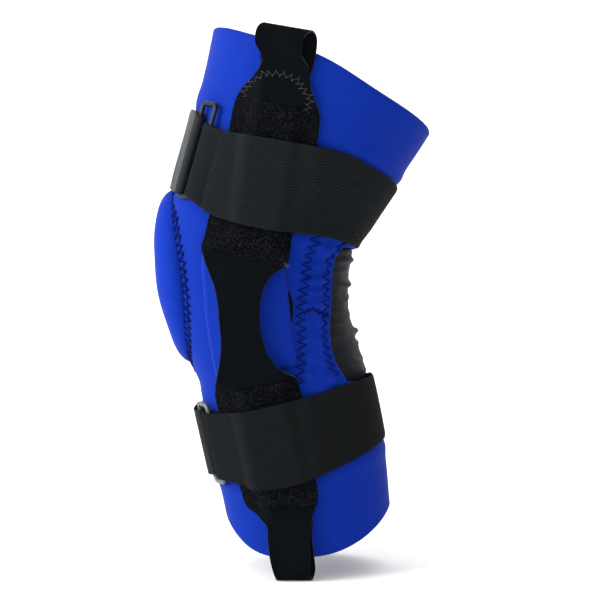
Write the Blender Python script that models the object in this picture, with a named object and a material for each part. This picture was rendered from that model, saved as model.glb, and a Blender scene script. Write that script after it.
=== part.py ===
"""Hinged knee support: neoprene sleeve, two side hinges, two ring-and-strap closures.

The frame: X runs from the kneecap (-X) to the back of the knee (+X), -Y is the lateral
side, +Z is up. The origin is the centre of the knee hinge, whose axis runs along Y.
The knee rests bent by UPPER_LEAN + LOWER_LEAN. Lengths are in metres.
"""
from math import asin, cos, degrees, pi, radians, sin, sqrt

import bmesh
import bpy
from mathutils import Vector

MM = 0.001
GAP = 0.4 * MM

# The limb form that the sleeve is cut to, from the hem up. Each row: height s of the middle of
# the section, front edge x and z, back edge x and z, half depth, roundness exponent.
LIMB = [
    (-162, -9, -166, 104, -158, 52, 2.2),
    (-137.5, -13, -141, 101, -134, 53, 2.2),
    (-100, -22, -102, 97, -98, 56, 2.3),
    (-45.5, -34, -45, 87, -46, 53, 2.6),
    (3, -46, 2, 73, 4, 54, 2.8),
    (48, -51, 50, 76, 46, 56, 2.7),
    (73, -49, 84, 86, 62, 60, 2.5),
    (115, -36, 135, 108, 95, 69, 2.3),
    (163, -22, 199, 129, 127, 76, 2.2),
    (175, -19, 211, 136, 139, 77, 2.2),
]
WALL = 4.0 * MM
RIM = 163 * MM
HEM = -137.5 * MM
HEM_DIP = 22.5 * MM
THIGH_EDGE = 48 * MM
CALF_EDGE = -45.5 * MM

# Oval kneecap panel, as an ellipse in height and angle from the front
CAP_MIDDLE = 21 * MM
CAP_HALF_HEIGHT = 57 * MM
CAP_HALF_ANGLE = radians(40)
CAP_BULGE = 12.5 * MM
STRIP_FRONT = radians(115)
STRIP_BACK = radians(135)

# Side hinge: layers outward from the sleeve, as depths from the middle plane
UPPER_LEAN = radians(9.7)
LOWER_LEAN = radians(13.2)
PAD_HALF_WIDTH = 32 * MM
PAD_HALF_HEIGHT = 43 * MM
PAD_FACE = 59.6 * MM
STAY_THICK = 2.2 * MM
STAY_HALF_WIDTH = 8 * MM
HEAD_RADIUS = 10.5 * MM
LOWER_STAY_IN = 61.0 * MM
UPPER_STAY_IN = 63.9 * MM
COVER_PLANE = 67.8 * MM
COVER_THICK = 1.2 * MM
PATCH_THICK = 1.4 * MM
CROWN = 11 * MM
UPPER_STAY_LENGTH = 138 * MM
LOWER_STAY_LENGTH = 118 * MM
STAY_FLAT = 44 * MM
STAY_BEND = 18 * MM
STAY_BENDS = [44, 49, 53, 57, 62, 75, 90, 105]
WAIST_END = 19.5 * MM
UPPER_LOOP_START = 146 * MM
LOWER_LOOP_START = 126 * MM
LOOP_HALF_WIDTH = 14.5 * MM
LOOP_THICK = 1.4 * MM
LOOP_CLEARANCE = 0.9 * MM
LOOP_SWELL = 3.0 * MM
LOOP_TURN_LENGTH = 14 * MM
BORE_RADIUS = 2.8 * MM
RIVET_RADIUS = 2.5 * MM
STOP_RADIUS = 1.5 * MM
STOP_ORBIT = 8.3 * MM
NOTCH_RADIUS = 6.4 * MM
EXTENSION = UPPER_LEAN + LOWER_LEAN
FLEXION = radians(50)
# The stop pin sits in front of the upper stay's middle line. In the lower stay's frame it
# stands at STOP_TURN at rest, and the notch in the head lets it sweep the hinge's range.
STOP_LEAD = radians(33)
STOP_TURN = pi - (UPPER_LEAN + LOWER_LEAN) + STOP_LEAD
STOP_ROOM = STOP_RADIUS / STOP_ORBIT + radians(5)
NOTCH = (STOP_TURN - FLEXION - STOP_ROOM, STOP_TURN + EXTENSION + STOP_ROOM)

# Cover outline along each arm of the hinge: distance, front edge, back edge in mm
UPPER_COVER = [(0, -15.5, 10.3), (10, -18.5, 9), (22, -23.5, 10), (35, -29, 21.5), (47, -34, 22),
               (54, -34, 23), (86, -31, 27), (115, -29, 29), (130, -29, 29), (139, -28, 26),
               (147, -24.5, 21.5), (155, -18, 18), (162, -16, 16)]
LOWER_COVER = [(0, -15.5, 10.3), (10, -17, 9.3), (24, -19.5, 12), (34, -23, 17.5), (43, -28, 26),
               (55, -31, 25), (85, -29, 23), (125, -27, 21.5), (133, -20, 18), (142, -16, 14)]

# Rows of points along the covers where the loop patches lie, in mm
PATCH_STOPS_THIGH = [42, 52, 60, 80, 105, 122, 140]
PATCH_STOPS_CALF = [48, 54, 60, 75, 95, 110, 122]

# Straps. The edge tables give the height s of a strap's edge in mm at angles in degrees.
STRAP_THICK = 1.8 * MM
CLOSURE_THICK = 1.4 * MM
HOOK_THICK = 0.8 * MM
BAR_RADIUS = 1.7 * MM
RING_PITCH = 14 * MM
STRAP_GAP = 1.0 * MM
BAR_ROOM = 0.5 * MM
FOLD_ROOM = 0.9 * MM
EDGE_INSET = 1.5 * MM
HOOK_INSET = 4 * MM
STRAP_END = radians(316)
FLAP_END = radians(-41)
HOOK_FRONT = radians(-8)
THIGH_TOP = [(0, 118), (30, 119), (46, 110.5), (60, 109.5), (90, 112.5), (115, 114.5), (135, 111),
             (165, 107), (180, 106.5), (200, 107.5), (240, 112), (270, 113.5), (316, 113), (340, 116)]
THIGH_BOTTOM = [(0, 77.5), (15, 76.5), (30, 74.5), (46, 70.5), (60, 63), (76, 59.8), (94, 57.6),
                (111, 56.3), (129, 54), (150, 50), (180, 49), (210, 50), (235, 54), (270, 59),
                (300, 64), (316, 70), (340, 76)]
CALF_TOP = [(0, -60), (25, -62), (42, -65), (62, -64.3), (78, -61.5), (105, -54), (129, -46.5),
            (161, -42), (180, -41.5), (199, -42), (231, -46.5), (255, -54), (282, -60), (300, -62),
            (318, -62), (340, -60.5)]
CALF_BOTTOM = [(0, -103), (25, -104), (42, -107.5), (63, -112), (88, -110), (119, -100),
               (140, -92), (159, -87.5), (180, -86), (201, -87.5), (220, -92), (241, -100),
               (272, -109), (297, -110), (318, -106), (340, -103.5)]
# Each ring: angle of its rear bar in degrees, heights of its ends and length of the sewn tuck
THIGH_RING = (46, 124.5, 66.5, 6)
CALF_RING = (38, -56, -112, 5)


def smooth(x):
    x = min(max(x, 0.0), 1.0)
    return x * x * (3 - 2 * x)


def mix(a, b, t):
    return a + (b - a) * t


def section(s):
    """Front edge, back edge, half depth and exponent of the limb section at height s."""
    rows = LIMB
    height = s / MM
    last = len(rows) - 1
    k = 0
    while k < last - 1 and height > rows[k + 1][0]:
        k += 1
    low, high = rows[k], rows[k + 1]
    before, after = rows[max(k - 1, 0)], rows[min(k + 2, last)]
    span = high[0] - low[0]
    t = (height - low[0]) / span
    values = []
    for c in range(1, 7):
        slope_low = (high[c] - before[c]) / (high[0] - before[0]) * span
        slope_high = (after[c] - low[c]) / (after[0] - low[0]) * span
        if t < 0:
            values.append(low[c] + slope_low * t)
        elif t > 1:
            values.append(high[c] + slope_high * (t - 1))
        else:
            a = 2 * low[c] - 2 * high[c] + slope_low + slope_high
            b = 3 * (high[c] - low[c]) - 2 * slope_low - slope_high
            values.append(((a * t + b) * t + slope_low) * t + low[c])
    fx, fz, bx, bz, depth, power = values
    return Vector((fx, 0, fz)) * MM, Vector((bx, 0, bz)) * MM, depth * MM, power


def skin(s, angle):
    """Point on the sleeve's outer face. Angle 0 is the front, 90 degrees the lateral side."""
    front, back, depth, power = section(s)
    middle = (front + back) / 2
    reach = (abs(cos(angle)) ** power + abs(sin(angle)) ** power) ** (-1 / power)
    point = middle + (front - middle) * (cos(angle) * reach)
    point.y = -depth * sin(angle) * reach
    return point


def limb_point(s, angle, offset):
    """Point at a distance outward from the sleeve's outer face."""
    step = 0.5 * MM
    turn = 0.01
    along = skin(s + step, angle) - skin(s - step, angle)
    around = skin(s, angle + turn) - skin(s, angle - turn)
    return skin(s, angle) + around.cross(along).normalized() * offset


def side_depth(x, z):
    """Distance of the sleeve's side from the middle plane, at a place seen from the side."""
    low, high = -0.25, 0.30
    for _ in range(32):
        s = (low + high) / 2
        front, back, depth, power = section(s)
        above = (z - front.z) * (back.x - front.x) - (x - front.x) * (back.z - front.z)
        if above > 0:
            low = s
        else:
            high = s
    middle = (front + back) / 2
    half = (back - front) / 2
    across = ((x - middle.x) * half.x + (z - middle.z) * half.z) / half.length_squared
    across = min(abs(across), 0.98)
    return depth * (1 - across ** power) ** (1 / power)


# ---------------------------------------------------------------- mesh helpers

def make_object(name, verts, faces, material, pivot=(0, 0, 0)):
    """One closed body; its origin goes to pivot."""
    pivot = Vector(pivot)
    mesh = bpy.data.meshes.new(name)
    mesh.from_pydata([Vector(v) - pivot for v in verts], [], faces)
    bm = bmesh.new()
    bm.from_mesh(mesh)
    bmesh.ops.recalc_face_normals(bm, faces=bm.faces)
    bm.to_mesh(mesh)
    bm.free()
    mesh.shade_smooth()
    mesh.set_sharp_from_angle(angle=radians(35))
    mesh.materials.append(material)
    obj = bpy.data.objects.new(name, mesh)
    obj.location = pivot
    bpy.context.scene.collection.objects.link(obj)
    return obj


def slab(name, material, point, rows, cols, wrap=False, pivot=(0, 0, 0)):
    """Closed sheet. point(layer, u, v) gives the outer (0) and inner (1) face, u and v 0 to 1."""
    across = cols if wrap else cols + 1
    verts = [point(layer, i / rows, j / cols)
             for layer in (0, 1) for i in range(rows + 1) for j in range(across)]

    def index(layer, i, j):
        return (layer * (rows + 1) + i) * across + j % across

    faces = []
    for i in range(rows):
        for j in range(cols):
            a, b, c, d = (i, j), (i, j + 1), (i + 1, j + 1), (i + 1, j)
            for corners in ((a, b, c), (a, c, d)):
                faces.append([index(0, *corner) for corner in corners])
                faces.append([index(1, *corner) for corner in reversed(corners)])
    for i in (0, rows):
        for j in range(cols):
            faces.append([index(0, i, j), index(0, i, j + 1), index(1, i, j + 1), index(1, i, j)])
    if not wrap:
        for j in (0, cols):
            for i in range(rows):
                faces.append([index(0, i, j), index(0, i + 1, j), index(1, i + 1, j),
                              index(1, i, j)])
    return make_object(name, verts, faces, material, pivot)


def disc(name, material, point, rings, segments):
    """Closed round pad. point(layer, r, angle) gives its faces, r from 0 to 1."""
    verts = []
    for layer in (0, 1):
        verts.append(point(layer, 0.0, 0.0))
        for k in range(1, rings + 1):
            verts += [point(layer, k / rings, 2 * pi * j / segments) for j in range(segments)]
    size = 1 + rings * segments

    def index(layer, k, j):
        return layer * size + (0 if k == 0 else 1 + (k - 1) * segments + j % segments)

    faces = []
    for layer in (0, 1):
        for j in range(segments):
            faces.append([index(layer, 0, 0), index(layer, 1, j), index(layer, 1, j + 1)])
            for k in range(1, rings):
                faces.append([index(layer, k, j), index(layer, k + 1, j),
                              index(layer, k + 1, j + 1), index(layer, k, j + 1)])
    for j in range(segments):
        faces.append([index(0, rings, j), index(0, rings, j + 1), index(1, rings, j + 1),
                      index(1, rings, j)])
    return make_object(name, verts, faces, material)


def turned(profile, side, segments=20):
    """Vertices and faces of a body turned about the hinge axis.

    The profile is a closed line of (radius, depth) points.
    """
    verts = []
    for radius, depth in profile:
        verts += [(radius * cos(2 * pi * j / segments), side * depth,
                   radius * sin(2 * pi * j / segments)) for j in range(segments)]
    count = len(profile)
    faces = []
    for k in range(count):
        after = (k + 1) % count
        for j in range(segments):
            step = (j + 1) % segments
            faces.append([k * segments + j, after * segments + j, after * segments + step,
                          k * segments + step])
    return verts, faces


def tube_loop(name, material, centre_line, radius, pivot, sides=6):
    """Closed ring of round bar along a closed list of points."""
    count = len(centre_line)
    middle = sum(centre_line, Vector()) / count
    verts = []
    for k in range(count):
        tangent = (centre_line[(k + 1) % count] - centre_line[k - 1]).normalized()
        inward = middle - centre_line[k]
        inward = (inward - tangent * inward.dot(tangent)).normalized()
        flat = tangent.cross(inward)
        for j in range(sides):
            turn = 2 * pi * (j + 0.5) / sides
            spoke = inward * (radius * cos(turn)) + flat * (radius * sin(turn))
            verts.append(centre_line[k] + spoke)
    faces = []
    for k in range(count):
        after = (k + 1) % count
        for j in range(sides):
            step = (j + 1) % sides
            faces.append([k * sides + j, k * sides + step, after * sides + step, after * sides + j])
    return make_object(name, verts, faces, material, pivot)


def rounded_corners(corners, radius, steps=3):
    """Closed polygon with each corner replaced by a short arc."""
    line = []
    for k, corner in enumerate(corners):
        toward = (corners[k - 1] - corner).normalized()
        away = (corners[(k + 1) % len(corners)] - corner).normalized()
        for j in range(steps + 1):
            t = j / steps
            line.append(corner + toward * (radius * (1 - t) ** 2) + away * (radius * t ** 2))
    return line


# ---------------------------------------------------------------- hinge arms

class Arm:
    """One arm of the side hinge, seen from the side: t along it, w across it toward the back."""

    def __init__(self, lean, sense, stay_in, outline, loop_start):
        self.along = Vector((sin(lean), 0, sense * cos(lean)))
        self.across = Vector((cos(lean), 0, -sense * sin(lean)))
        self.stay_in_plane = stay_in
        self.outline = outline
        self.loop_start = loop_start

    def place(self, t, w):
        return self.along * t + self.across * w

    def hang(self, t, w, start, turn):
        """Place on a loop that turns off the arm's line by an angle past its start."""
        part = turn * smooth((t - start) / LOOP_TURN_LENGTH)
        offset = self.along * (t - start) + self.across * w
        return self.along * start + Vector((offset.x * cos(part) + offset.z * sin(part), 0,
                                            offset.z * cos(part) - offset.x * sin(part)))

    def edges(self, t):
        """Front and back edge of the cover at t."""
        rows = self.outline
        mm = t / MM
        k = 0
        while k < len(rows) - 2 and mm > rows[k + 1][0]:
            k += 1
        part = (mm - rows[k][0]) / (rows[k + 1][0] - rows[k][0])
        return [mix(rows[k][c], rows[k + 1][c], part) * MM for c in (1, 2)]

    def stay_in(self, t):
        """Depth of the stay's inner face: flat past the pad, then close on the sleeve."""
        spot = self.place(t, 0)
        close = side_depth(spot.x, spot.z) + 1.0 * MM
        return mix(self.stay_in_plane, close, smooth((t - STAY_FLAT) / STAY_BEND))

    def cover_in(self, t, w):
        """Depth of the cover's inner face: over the stay, with its edges down on the sleeve."""
        over_stay = self.stay_in(t) + STAY_THICK + 1.2 * MM
        crown = mix(COVER_PLANE, over_stay, smooth((t - 16 * MM) / (46 * MM)))
        spot = self.place(t, w)
        loop_room = 2.2 * MM * smooth((t - self.loop_start) / (8 * MM) + 1)
        on_sleeve = side_depth(spot.x, spot.z) + 0.5 * MM + loop_room
        drop = smooth((spot.length - 46 * MM) / (12 * MM)) * smooth((abs(w) - CROWN) / (10 * MM))
        return mix(crown, on_sleeve, drop)


UPPER = Arm(UPPER_LEAN, 1, UPPER_STAY_IN, UPPER_COVER, UPPER_LOOP_START)
LOWER = Arm(LOWER_LEAN, -1, LOWER_STAY_IN, LOWER_COVER, LOWER_LOOP_START)


def on_side(side, spot, depth):
    return Vector((spot.x, side * depth, spot.z))


def strap_lift(s, angle):
    """How far the hinge, cover and patch push a strap off the sleeve."""
    if abs(sin(angle)) < 0.3:
        return 0.0
    spot = skin(s, angle)
    arm = UPPER if spot.z > 0 else LOWER
    t = spot.x * arm.along.x + spot.z * arm.along.z
    w = spot.x * arm.across.x + spot.z * arm.across.z
    front, back = arm.edges(t)
    edge = min(max(w, front), back)
    under = arm.place(t, edge)
    stack = arm.cover_in(t, edge) + COVER_THICK + PATCH_THICK + 1.4 * MM
    height = stack - side_depth(under.x, under.z)
    return height * (1 - smooth(abs(w - edge) / (16 * MM)))


# ---------------------------------------------------------------- sleeve and knee panels

def cap_angle(s):
    """Half angle of the kneecap panel at height s."""
    part = (s - CAP_MIDDLE) / CAP_HALF_HEIGHT
    return CAP_HALF_ANGLE * sqrt(max(0.0, 1 - part * part))


def thigh_edge(angle):
    """Lower edge of the thigh sleeve, which arches over the kneecap panel."""
    turn = abs((angle + pi) % (2 * pi) - pi) / CAP_HALF_ANGLE
    arch = CAP_MIDDLE + CAP_HALF_HEIGHT * sqrt(max(0.0, 1 - turn * turn))
    return max(THIGH_EDGE, arch)


def hem_edge(angle):
    return HEM - HEM_DIP * sin(angle) ** 2


def make_sleeve(name, material, top, bottom, rows, cols):
    def point(layer, u, v):
        angle = 2 * pi * v
        s = mix(top(angle), bottom(angle), u)
        return limb_point(s, angle, -WALL * layer)
    return slab(name, material, point, rows, cols, wrap=True)


def make_knee_panel(name, material, side, start, stop, inner, outer, cols):
    """Panel between the thigh and calf sleeves, from angle start(s) to stop."""
    def point(layer, u, v):
        s = mix(THIGH_EDGE - GAP, CALF_EDGE + GAP, u)
        margin = GAP / (60 * MM)
        angle = mix(start(s) + margin, stop - margin, v)
        return limb_point(s, side * angle, inner if layer else outer)
    return slab(name, material, point, 7, cols)


def cap_rise(r):
    return CAP_BULGE * sqrt(max(0.0, 1 - r ** 6))


def cap_place(r, turn):
    s = CAP_MIDDLE + (CAP_HALF_HEIGHT - GAP * 2) * r * cos(turn)
    angle = (CAP_HALF_ANGLE - 0.02) * r * sin(turn)
    return s, angle


def make_kneecap_panel(material):
    def point(layer, r, turn):
        s, angle = cap_place(sin(r * pi / 2), turn)
        return limb_point(s, angle, cap_rise(sin(r * pi / 2)) - WALL * layer)
    return disc("kneecap_panel", material, point, 5, 22)


def make_buttress(material):
    def point(layer, u, v):
        r = mix(0.42, 0.74, u)
        s, angle = cap_place(r, 2 * pi * v)
        return limb_point(s, angle, mix(cap_rise(r) - WALL - 1.2 * MM, -WALL + 0.5 * MM, layer))
    return slab("patella_buttress", material, point, 2, 20, wrap=True)


# ---------------------------------------------------------------- side hinge parts

def make_pad(name, material, side):
    def point(layer, r, turn):
        x = 2 * MM + PAD_HALF_WIDTH * r * sin(turn)
        z = PAD_HALF_HEIGHT * r * cos(turn)
        under = side_depth(x, z) + GAP
        face = mix(PAD_FACE, under + 1.6 * MM, smooth((r - 0.62) / 0.38))
        return Vector((x, side * (under if layer else face), z))
    return disc(name, material, point, 5, 22)


def stay_outline(length, notched):
    """Outline of a stay as (t, w) points: round head, straight bar, rounded end."""
    line = []
    start = asin(STAY_HALF_WIDTH / HEAD_RADIUS)
    steps = 26
    for k in range(steps + 1):
        turn = start + (2 * pi - 2 * start) * k / steps
        radius = HEAD_RADIUS
        if notched and notched[0] < turn < notched[1]:
            radius = NOTCH_RADIUS
        line.append((radius * cos(turn), radius * sin(turn)))
    for k in range(7):
        turn = -pi / 2 + pi * k / 6
        line.append((length - STAY_HALF_WIDTH + STAY_HALF_WIDTH * cos(turn),
                     STAY_HALF_WIDTH * sin(turn)))
    return line


def make_stay(name, material, side, arm, length, notched=None):
    """Flat metal stay with a bored head, bent to lie along the limb."""
    bm = bmesh.new()
    ring = [bm.verts.new((t, w, 0)) for t, w in stay_outline(length, notched)]
    face = bm.faces.new(ring)
    grown = bmesh.ops.extrude_face_region(bm, geom=[face])
    lifted = [e for e in grown["geom"] if isinstance(e, bmesh.types.BMVert)]
    bmesh.ops.translate(bm, vec=(0, 0, STAY_THICK), verts=lifted)
    for bend in STAY_BENDS:
        if bend * MM < length - STAY_HALF_WIDTH:
            geom = bm.verts[:] + bm.edges[:] + bm.faces[:]
            bmesh.ops.bisect_plane(bm, geom=geom, plane_co=(bend * MM, 0, 0), plane_no=(1, 0, 0),
                                   dist=1e-6)
    bmesh.ops.triangulate(bm, faces=bm.faces[:])
    bm.verts.index_update()
    verts = []
    for vert in bm.verts:
        t, w, layer = vert.co
        spot = arm.place(t, w)
        depth = arm.stay_in_plane if t < STAY_FLAT else arm.stay_in(t)
        verts.append(on_side(side, spot, depth + layer))
    faces = [[v.index for v in f.verts] for f in bm.faces]
    bm.free()
    stay = make_object(name, verts, faces, material)
    bore = make_cutter(name + "_bore", BORE_RADIUS, side * 50 * MM, side * 80 * MM)
    cut = stay.modifiers.new("bore", "BOOLEAN")
    cut.operation = "DIFFERENCE"
    cut.object = bore
    return stay


def make_cutter(name, radius, start, stop, segments=20):
    """Round cutter along the hinge axis."""
    verts = [(radius * cos(2 * pi * j / segments), y, radius * sin(2 * pi * j / segments))
             for y in (start, stop) for j in range(segments)]
    faces = [list(range(segments)), list(range(segments, 2 * segments))]
    faces += [[j, (j + 1) % segments, segments + (j + 1) % segments, segments + j]
              for j in range(segments)]
    cutter = make_object(name, verts, faces, MATERIALS["steel"])
    cutter.hide_render = True
    cutter.display_type = "WIRE"
    return cutter


def make_rivet(name, material, side):
    outer = UPPER_STAY_IN + STAY_THICK + 0.3 * MM
    inner = LOWER_STAY_IN - 0.3 * MM
    profile = [(RIVET_RADIUS, inner), (5 * MM, inner), (4.4 * MM, inner - 0.8 * MM),
               (1 * MM, inner - 0.8 * MM), (1 * MM, outer + 0.9 * MM), (4.4 * MM, outer + 0.9 * MM),
               (5 * MM, outer), (RIVET_RADIUS, outer)]
    verts, faces = turned(profile, side)
    return make_object(name, verts, faces, material)


def make_washer(name, material, side):
    low = LOWER_STAY_IN + STAY_THICK + 0.15 * MM
    high = UPPER_STAY_IN - 0.15 * MM
    profile = [(BORE_RADIUS, low), (6.2 * MM, low), (6.2 * MM, high), (BORE_RADIUS, high)]
    verts, faces = turned(profile, side)
    return make_object(name, verts, faces, material)


def make_stop_pin(name, material, side, segments=12):
    """Pin on the upper stay that stands in the notch of the lower stay's head."""
    centre = UPPER.place(STOP_ORBIT * cos(STOP_LEAD), -STOP_ORBIT * sin(STOP_LEAD))
    verts = []
    for depth in (LOWER_STAY_IN + 0.2 * MM, UPPER_STAY_IN - 0.3 * MM):
        verts += [on_side(side, centre, depth) + Vector((STOP_RADIUS * cos(2 * pi * j / segments), 0,
                                                        STOP_RADIUS * sin(2 * pi * j / segments)))
                  for j in range(segments)]
    faces = [list(range(segments)), list(range(segments, 2 * segments))]
    faces += [[j, (j + 1) % segments, segments + (j + 1) % segments, segments + j]
              for j in range(segments)]
    return make_object(name, verts, faces, material)


def cover_marks(arm, t):
    """Places across a cover: its edges, the sides of the flat crown and midway between."""
    front, back = arm.edges(t)
    left, right = max(front * 0.75, -CROWN), min(back * 0.75, CROWN)
    return [front, mix(front, left, 0.5), left, right, mix(right, back, 0.5), back]


def cover_point(side, arm, t, k, height):
    w = cover_marks(arm, t)[k]
    return on_side(side, arm.place(t, w), arm.cover_in(t, w) + height)


def make_cover(name, material, side, arm, stops):
    """Cover along an arm, with a row of points at each distance in stops."""
    def point(layer, u, v):
        t = stops[round(u * (len(stops) - 1))] * MM
        return cover_point(side, arm, t, round(v * 5), 0 if layer else COVER_THICK)
    return slab(name, material, point, len(stops) - 1, 5)


def make_waist(name, material, side):
    """Cover over the pivot, between the upper and lower covers."""
    rows = [(UPPER, WAIST_END), (UPPER, WAIST_END / 2), (UPPER, 0), (LOWER, WAIST_END / 2),
            (LOWER, WAIST_END)]

    def point(layer, u, v):
        arm, t = rows[round(u * 4)]
        front, back = arm.edges(t)
        spot = arm.place(t, mix(front, back, v))
        return on_side(side, spot, COVER_PLANE + (0 if layer else COVER_THICK))
    return slab(name, material, point, 4, 3)


def make_patch(name, material, side, arm, stops):
    """Loop-pile patch on a cover, as wide as it."""
    def point(layer, u, v):
        t = stops[round(u * (len(stops) - 1))] * MM
        height = COVER_THICK + GAP + (0 if layer else PATCH_THICK)
        return cover_point(side, arm, t, round(v * 5), height)
    return slab(name, material, point, len(stops) - 1, 5)


def make_pull_loop(name, material, side, arm, start, end, top, flare, hang):
    """Webbing loop round the end of a cover: under it, up, over and down on its outside.

    Past the end of the cover it widens by flare on each side and turns by hang off the arm.
    """
    inner = LOOP_CLEARANCE + LOOP_THICK / 2
    outer = inner + LOOP_THICK + COVER_THICK + 4.4 * MM
    middle = (inner + outer + LOOP_SWELL) / 2
    radius = (outer - inner + LOOP_SWELL) / 2
    path = [(start, inner), (mix(start, end, 0.5), inner), (end, inner),
            (mix(end, top, 0.5), inner)]
    for k in range(9):
        turn = -pi / 2 + pi * k / 8
        path.append((top - radius + radius * cos(turn), middle + radius * sin(turn)))
    path += [(mix(top, end, 0.55), outer + LOOP_SWELL), (end, outer + LOOP_SWELL * 0.3),
             (mix(start, end, 0.45), outer - 1.0 * MM)]
    count = len(path) - 1

    def point(layer, u, v):
        k = round(u * count)
        t, height = path[k]
        reach = LOOP_HALF_WIDTH + flare * smooth((t - end) / (16 * MM))
        before, after = path[max(k - 1, 0)], path[min(k + 1, count)]
        tangent = Vector((after[0] - before[0], after[1] - before[1])).normalized()
        shift = LOOP_THICK / 2 * (1 if layer else -1)
        t += -tangent.y * shift
        height += tangent.x * shift
        spot = arm.hang(t, mix(-reach, reach, v), end - 5 * MM, hang)
        centre = arm.hang(t, 0, end - 5 * MM, hang)
        conforming = side_depth(spot.x, spot.z)
        level = side_depth(centre.x, centre.z) + 1.0 * MM
        base = mix(conforming, level, smooth((height - 2 * MM) / (3 * MM)))
        return on_side(side, spot, base + height)
    return slab(name, material, point, count, 2)


# ---------------------------------------------------------------- straps and rings

def edge_height(rows, angle):
    """Height of a strap's edge at an angle, read smoothly from a closed table."""
    turn = degrees(angle) % 360
    count = len(rows)
    k = count - 1
    while rows[k][0] > turn:
        k -= 1
    near = []
    for step in (-1, 0, 1, 2):
        place, height = rows[(k + step) % count]
        near.append((place + 360 * ((k + step) // count), height))
    before, low, high, after = near
    span = high[0] - low[0]
    t = (turn - low[0]) / span
    slope_low = (high[1] - before[1]) / (high[0] - before[0]) * span
    slope_high = (after[1] - low[1]) / (after[0] - low[0]) * span
    a = 2 * low[1] - 2 * high[1] + slope_low + slope_high
    b = 3 * (high[1] - low[1]) - 2 * slope_low - slope_high
    return (((a * t + b) * t + slope_low) * t + low[1]) * MM


class Strap:
    """A strap round the sleeve, with its ring at the front of the lateral side."""

    def __init__(self, top_rows, bottom_rows, ring):
        self.top_rows = top_rows
        self.bottom_rows = bottom_rows
        self.rear_bar = radians(ring[0])
        self.ring_ends = [height * MM for height in ring[1:3]]
        self.tuck = ring[3] * MM
        self.middle = sum(self.ring_ends) / 2
        self.front_bar = self.rear_bar - RING_PITCH / self.stretch(self.rear_bar)
        self.rear_height = STRAP_GAP + STRAP_THICK + BAR_ROOM + BAR_RADIUS
        self.front_height = STRAP_GAP + CLOSURE_THICK + FOLD_ROOM + BAR_RADIUS

    def stretch(self, angle):
        """Arc length per radian round the sleeve."""
        return (skin(self.middle, angle + 0.01) - skin(self.middle, angle - 0.01)).length / 0.02

    def height(self, angle, u, inset=0.0):
        top = edge_height(self.top_rows, angle) - inset
        return mix(top, edge_height(self.bottom_rows, angle) + inset, u)

    def beside_ring(self, s, angle, offset):
        """Point at height s on the straight line beside the ring's bars."""
        ends = [limb_point(end, angle, offset) for end in self.ring_ends]
        return mix(*ends, (s - self.ring_ends[0]) / (self.ring_ends[1] - self.ring_ends[0]))


def ribbon(name, material, strap, path, thick, lift_from=None, inset=0.0, pivot=(0, 0, 0)):
    """Flat webbing that follows a path of (angle, height over the sleeve) points.

    Near the ring the webbing is straight from edge to edge, like the ring's bars. From the
    point numbered lift_from on, it rises over the hinge, cover and patch.
    """
    count = len(path) - 1
    ring = (strap.front_bar + strap.rear_bar) / 2

    def point(layer, u, v):
        k = round(v * count)
        angle, offset = path[k]
        before, after = path[max(k - 1, 0)], path[min(k + 1, count)]
        stretch = strap.stretch(angle)
        tangent = Vector(((after[0] - before[0]) * stretch, after[1] - before[1])).normalized()
        shift = thick / 2 * (-1 if layer else 1)
        turned_angle = angle - tangent.y * shift / stretch
        from_ring = abs(angle - ring) * stretch
        straight = 1 - smooth((from_ring - 11.5 * MM) / (5 * MM))
        s = strap.height(angle, u, inset)
        rise = 0.0
        if lift_from is not None and k >= lift_from:
            rise = max(0.0, STRAP_GAP + thick / 2 + strap_lift(s, angle) - offset)
        offset += tangent.x * shift
        free = limb_point(s, turned_angle, offset + rise)
        return mix(free, strap.beside_ring(s, turned_angle, offset), straight)
    return slab(name, material, point, 3, count, pivot=pivot)


def arc_path(strap, angle, height, radius, start, stop, steps=8):
    """Points of a fold round a ring bar."""
    stretch = strap.stretch(angle)
    path = []
    for k in range(steps + 1):
        turn = mix(start, stop, k / steps)
        path.append((angle + radius * cos(turn) / stretch, height + radius * sin(turn)))
    return path


def make_strap(name, material, strap):
    """Elastic band from its fold round the rear bar, round the back to the front again."""
    low = STRAP_GAP + STRAP_THICK / 2
    fold = BAR_RADIUS + BAR_ROOM + STRAP_THICK / 2
    bar = strap.rear_bar
    stretch = strap.stretch(bar)
    under = bar + strap.tuck / stretch
    path = [(under, low), (mix(under, bar, 0.5), low)]
    path += arc_path(strap, bar, strap.rear_height, fold, -pi / 2, -3 * pi / 2)
    lift_from = len(path)
    path += [(bar + 8 * MM / stretch, 6.4 * MM), (bar + 15 * MM / stretch, 4.6 * MM)]
    first = bar + 24 * MM / stretch
    steps = 36
    path += [(mix(first, STRAP_END, k / steps), low) for k in range(steps + 1)]
    return ribbon(name, material, strap, path, STRAP_THICK, lift_from)


def make_ring(name, material, strap):
    top, bottom = strap.ring_ends
    corners = [limb_point(top, strap.rear_bar, strap.rear_height),
               limb_point(top, strap.front_bar, strap.front_height),
               limb_point(bottom, strap.front_bar, strap.front_height),
               limb_point(bottom, strap.rear_bar, strap.rear_height)]
    line = rounded_corners(corners, 3.5 * MM)
    pivot = (corners[0] + corners[3]) / 2
    return tube_loop(name, material, line, BAR_RADIUS, pivot)


def make_closure(name, material, strap):
    """Webbing from the end of the elastic band, through the ring, to its fold."""
    low = STRAP_GAP + CLOSURE_THICK / 2
    fold = BAR_RADIUS + FOLD_ROOM + CLOSURE_THICK / 2
    first = STRAP_END - 2 * pi + GAP / (60 * MM)
    steps = 16
    path = [(mix(first, strap.front_bar, k / steps), low) for k in range(steps)]
    path += arc_path(strap, strap.front_bar, strap.front_height, fold, -pi / 2, pi / 2)
    return ribbon(name, material, strap, path, CLOSURE_THICK, inset=EDGE_INSET)


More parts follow.
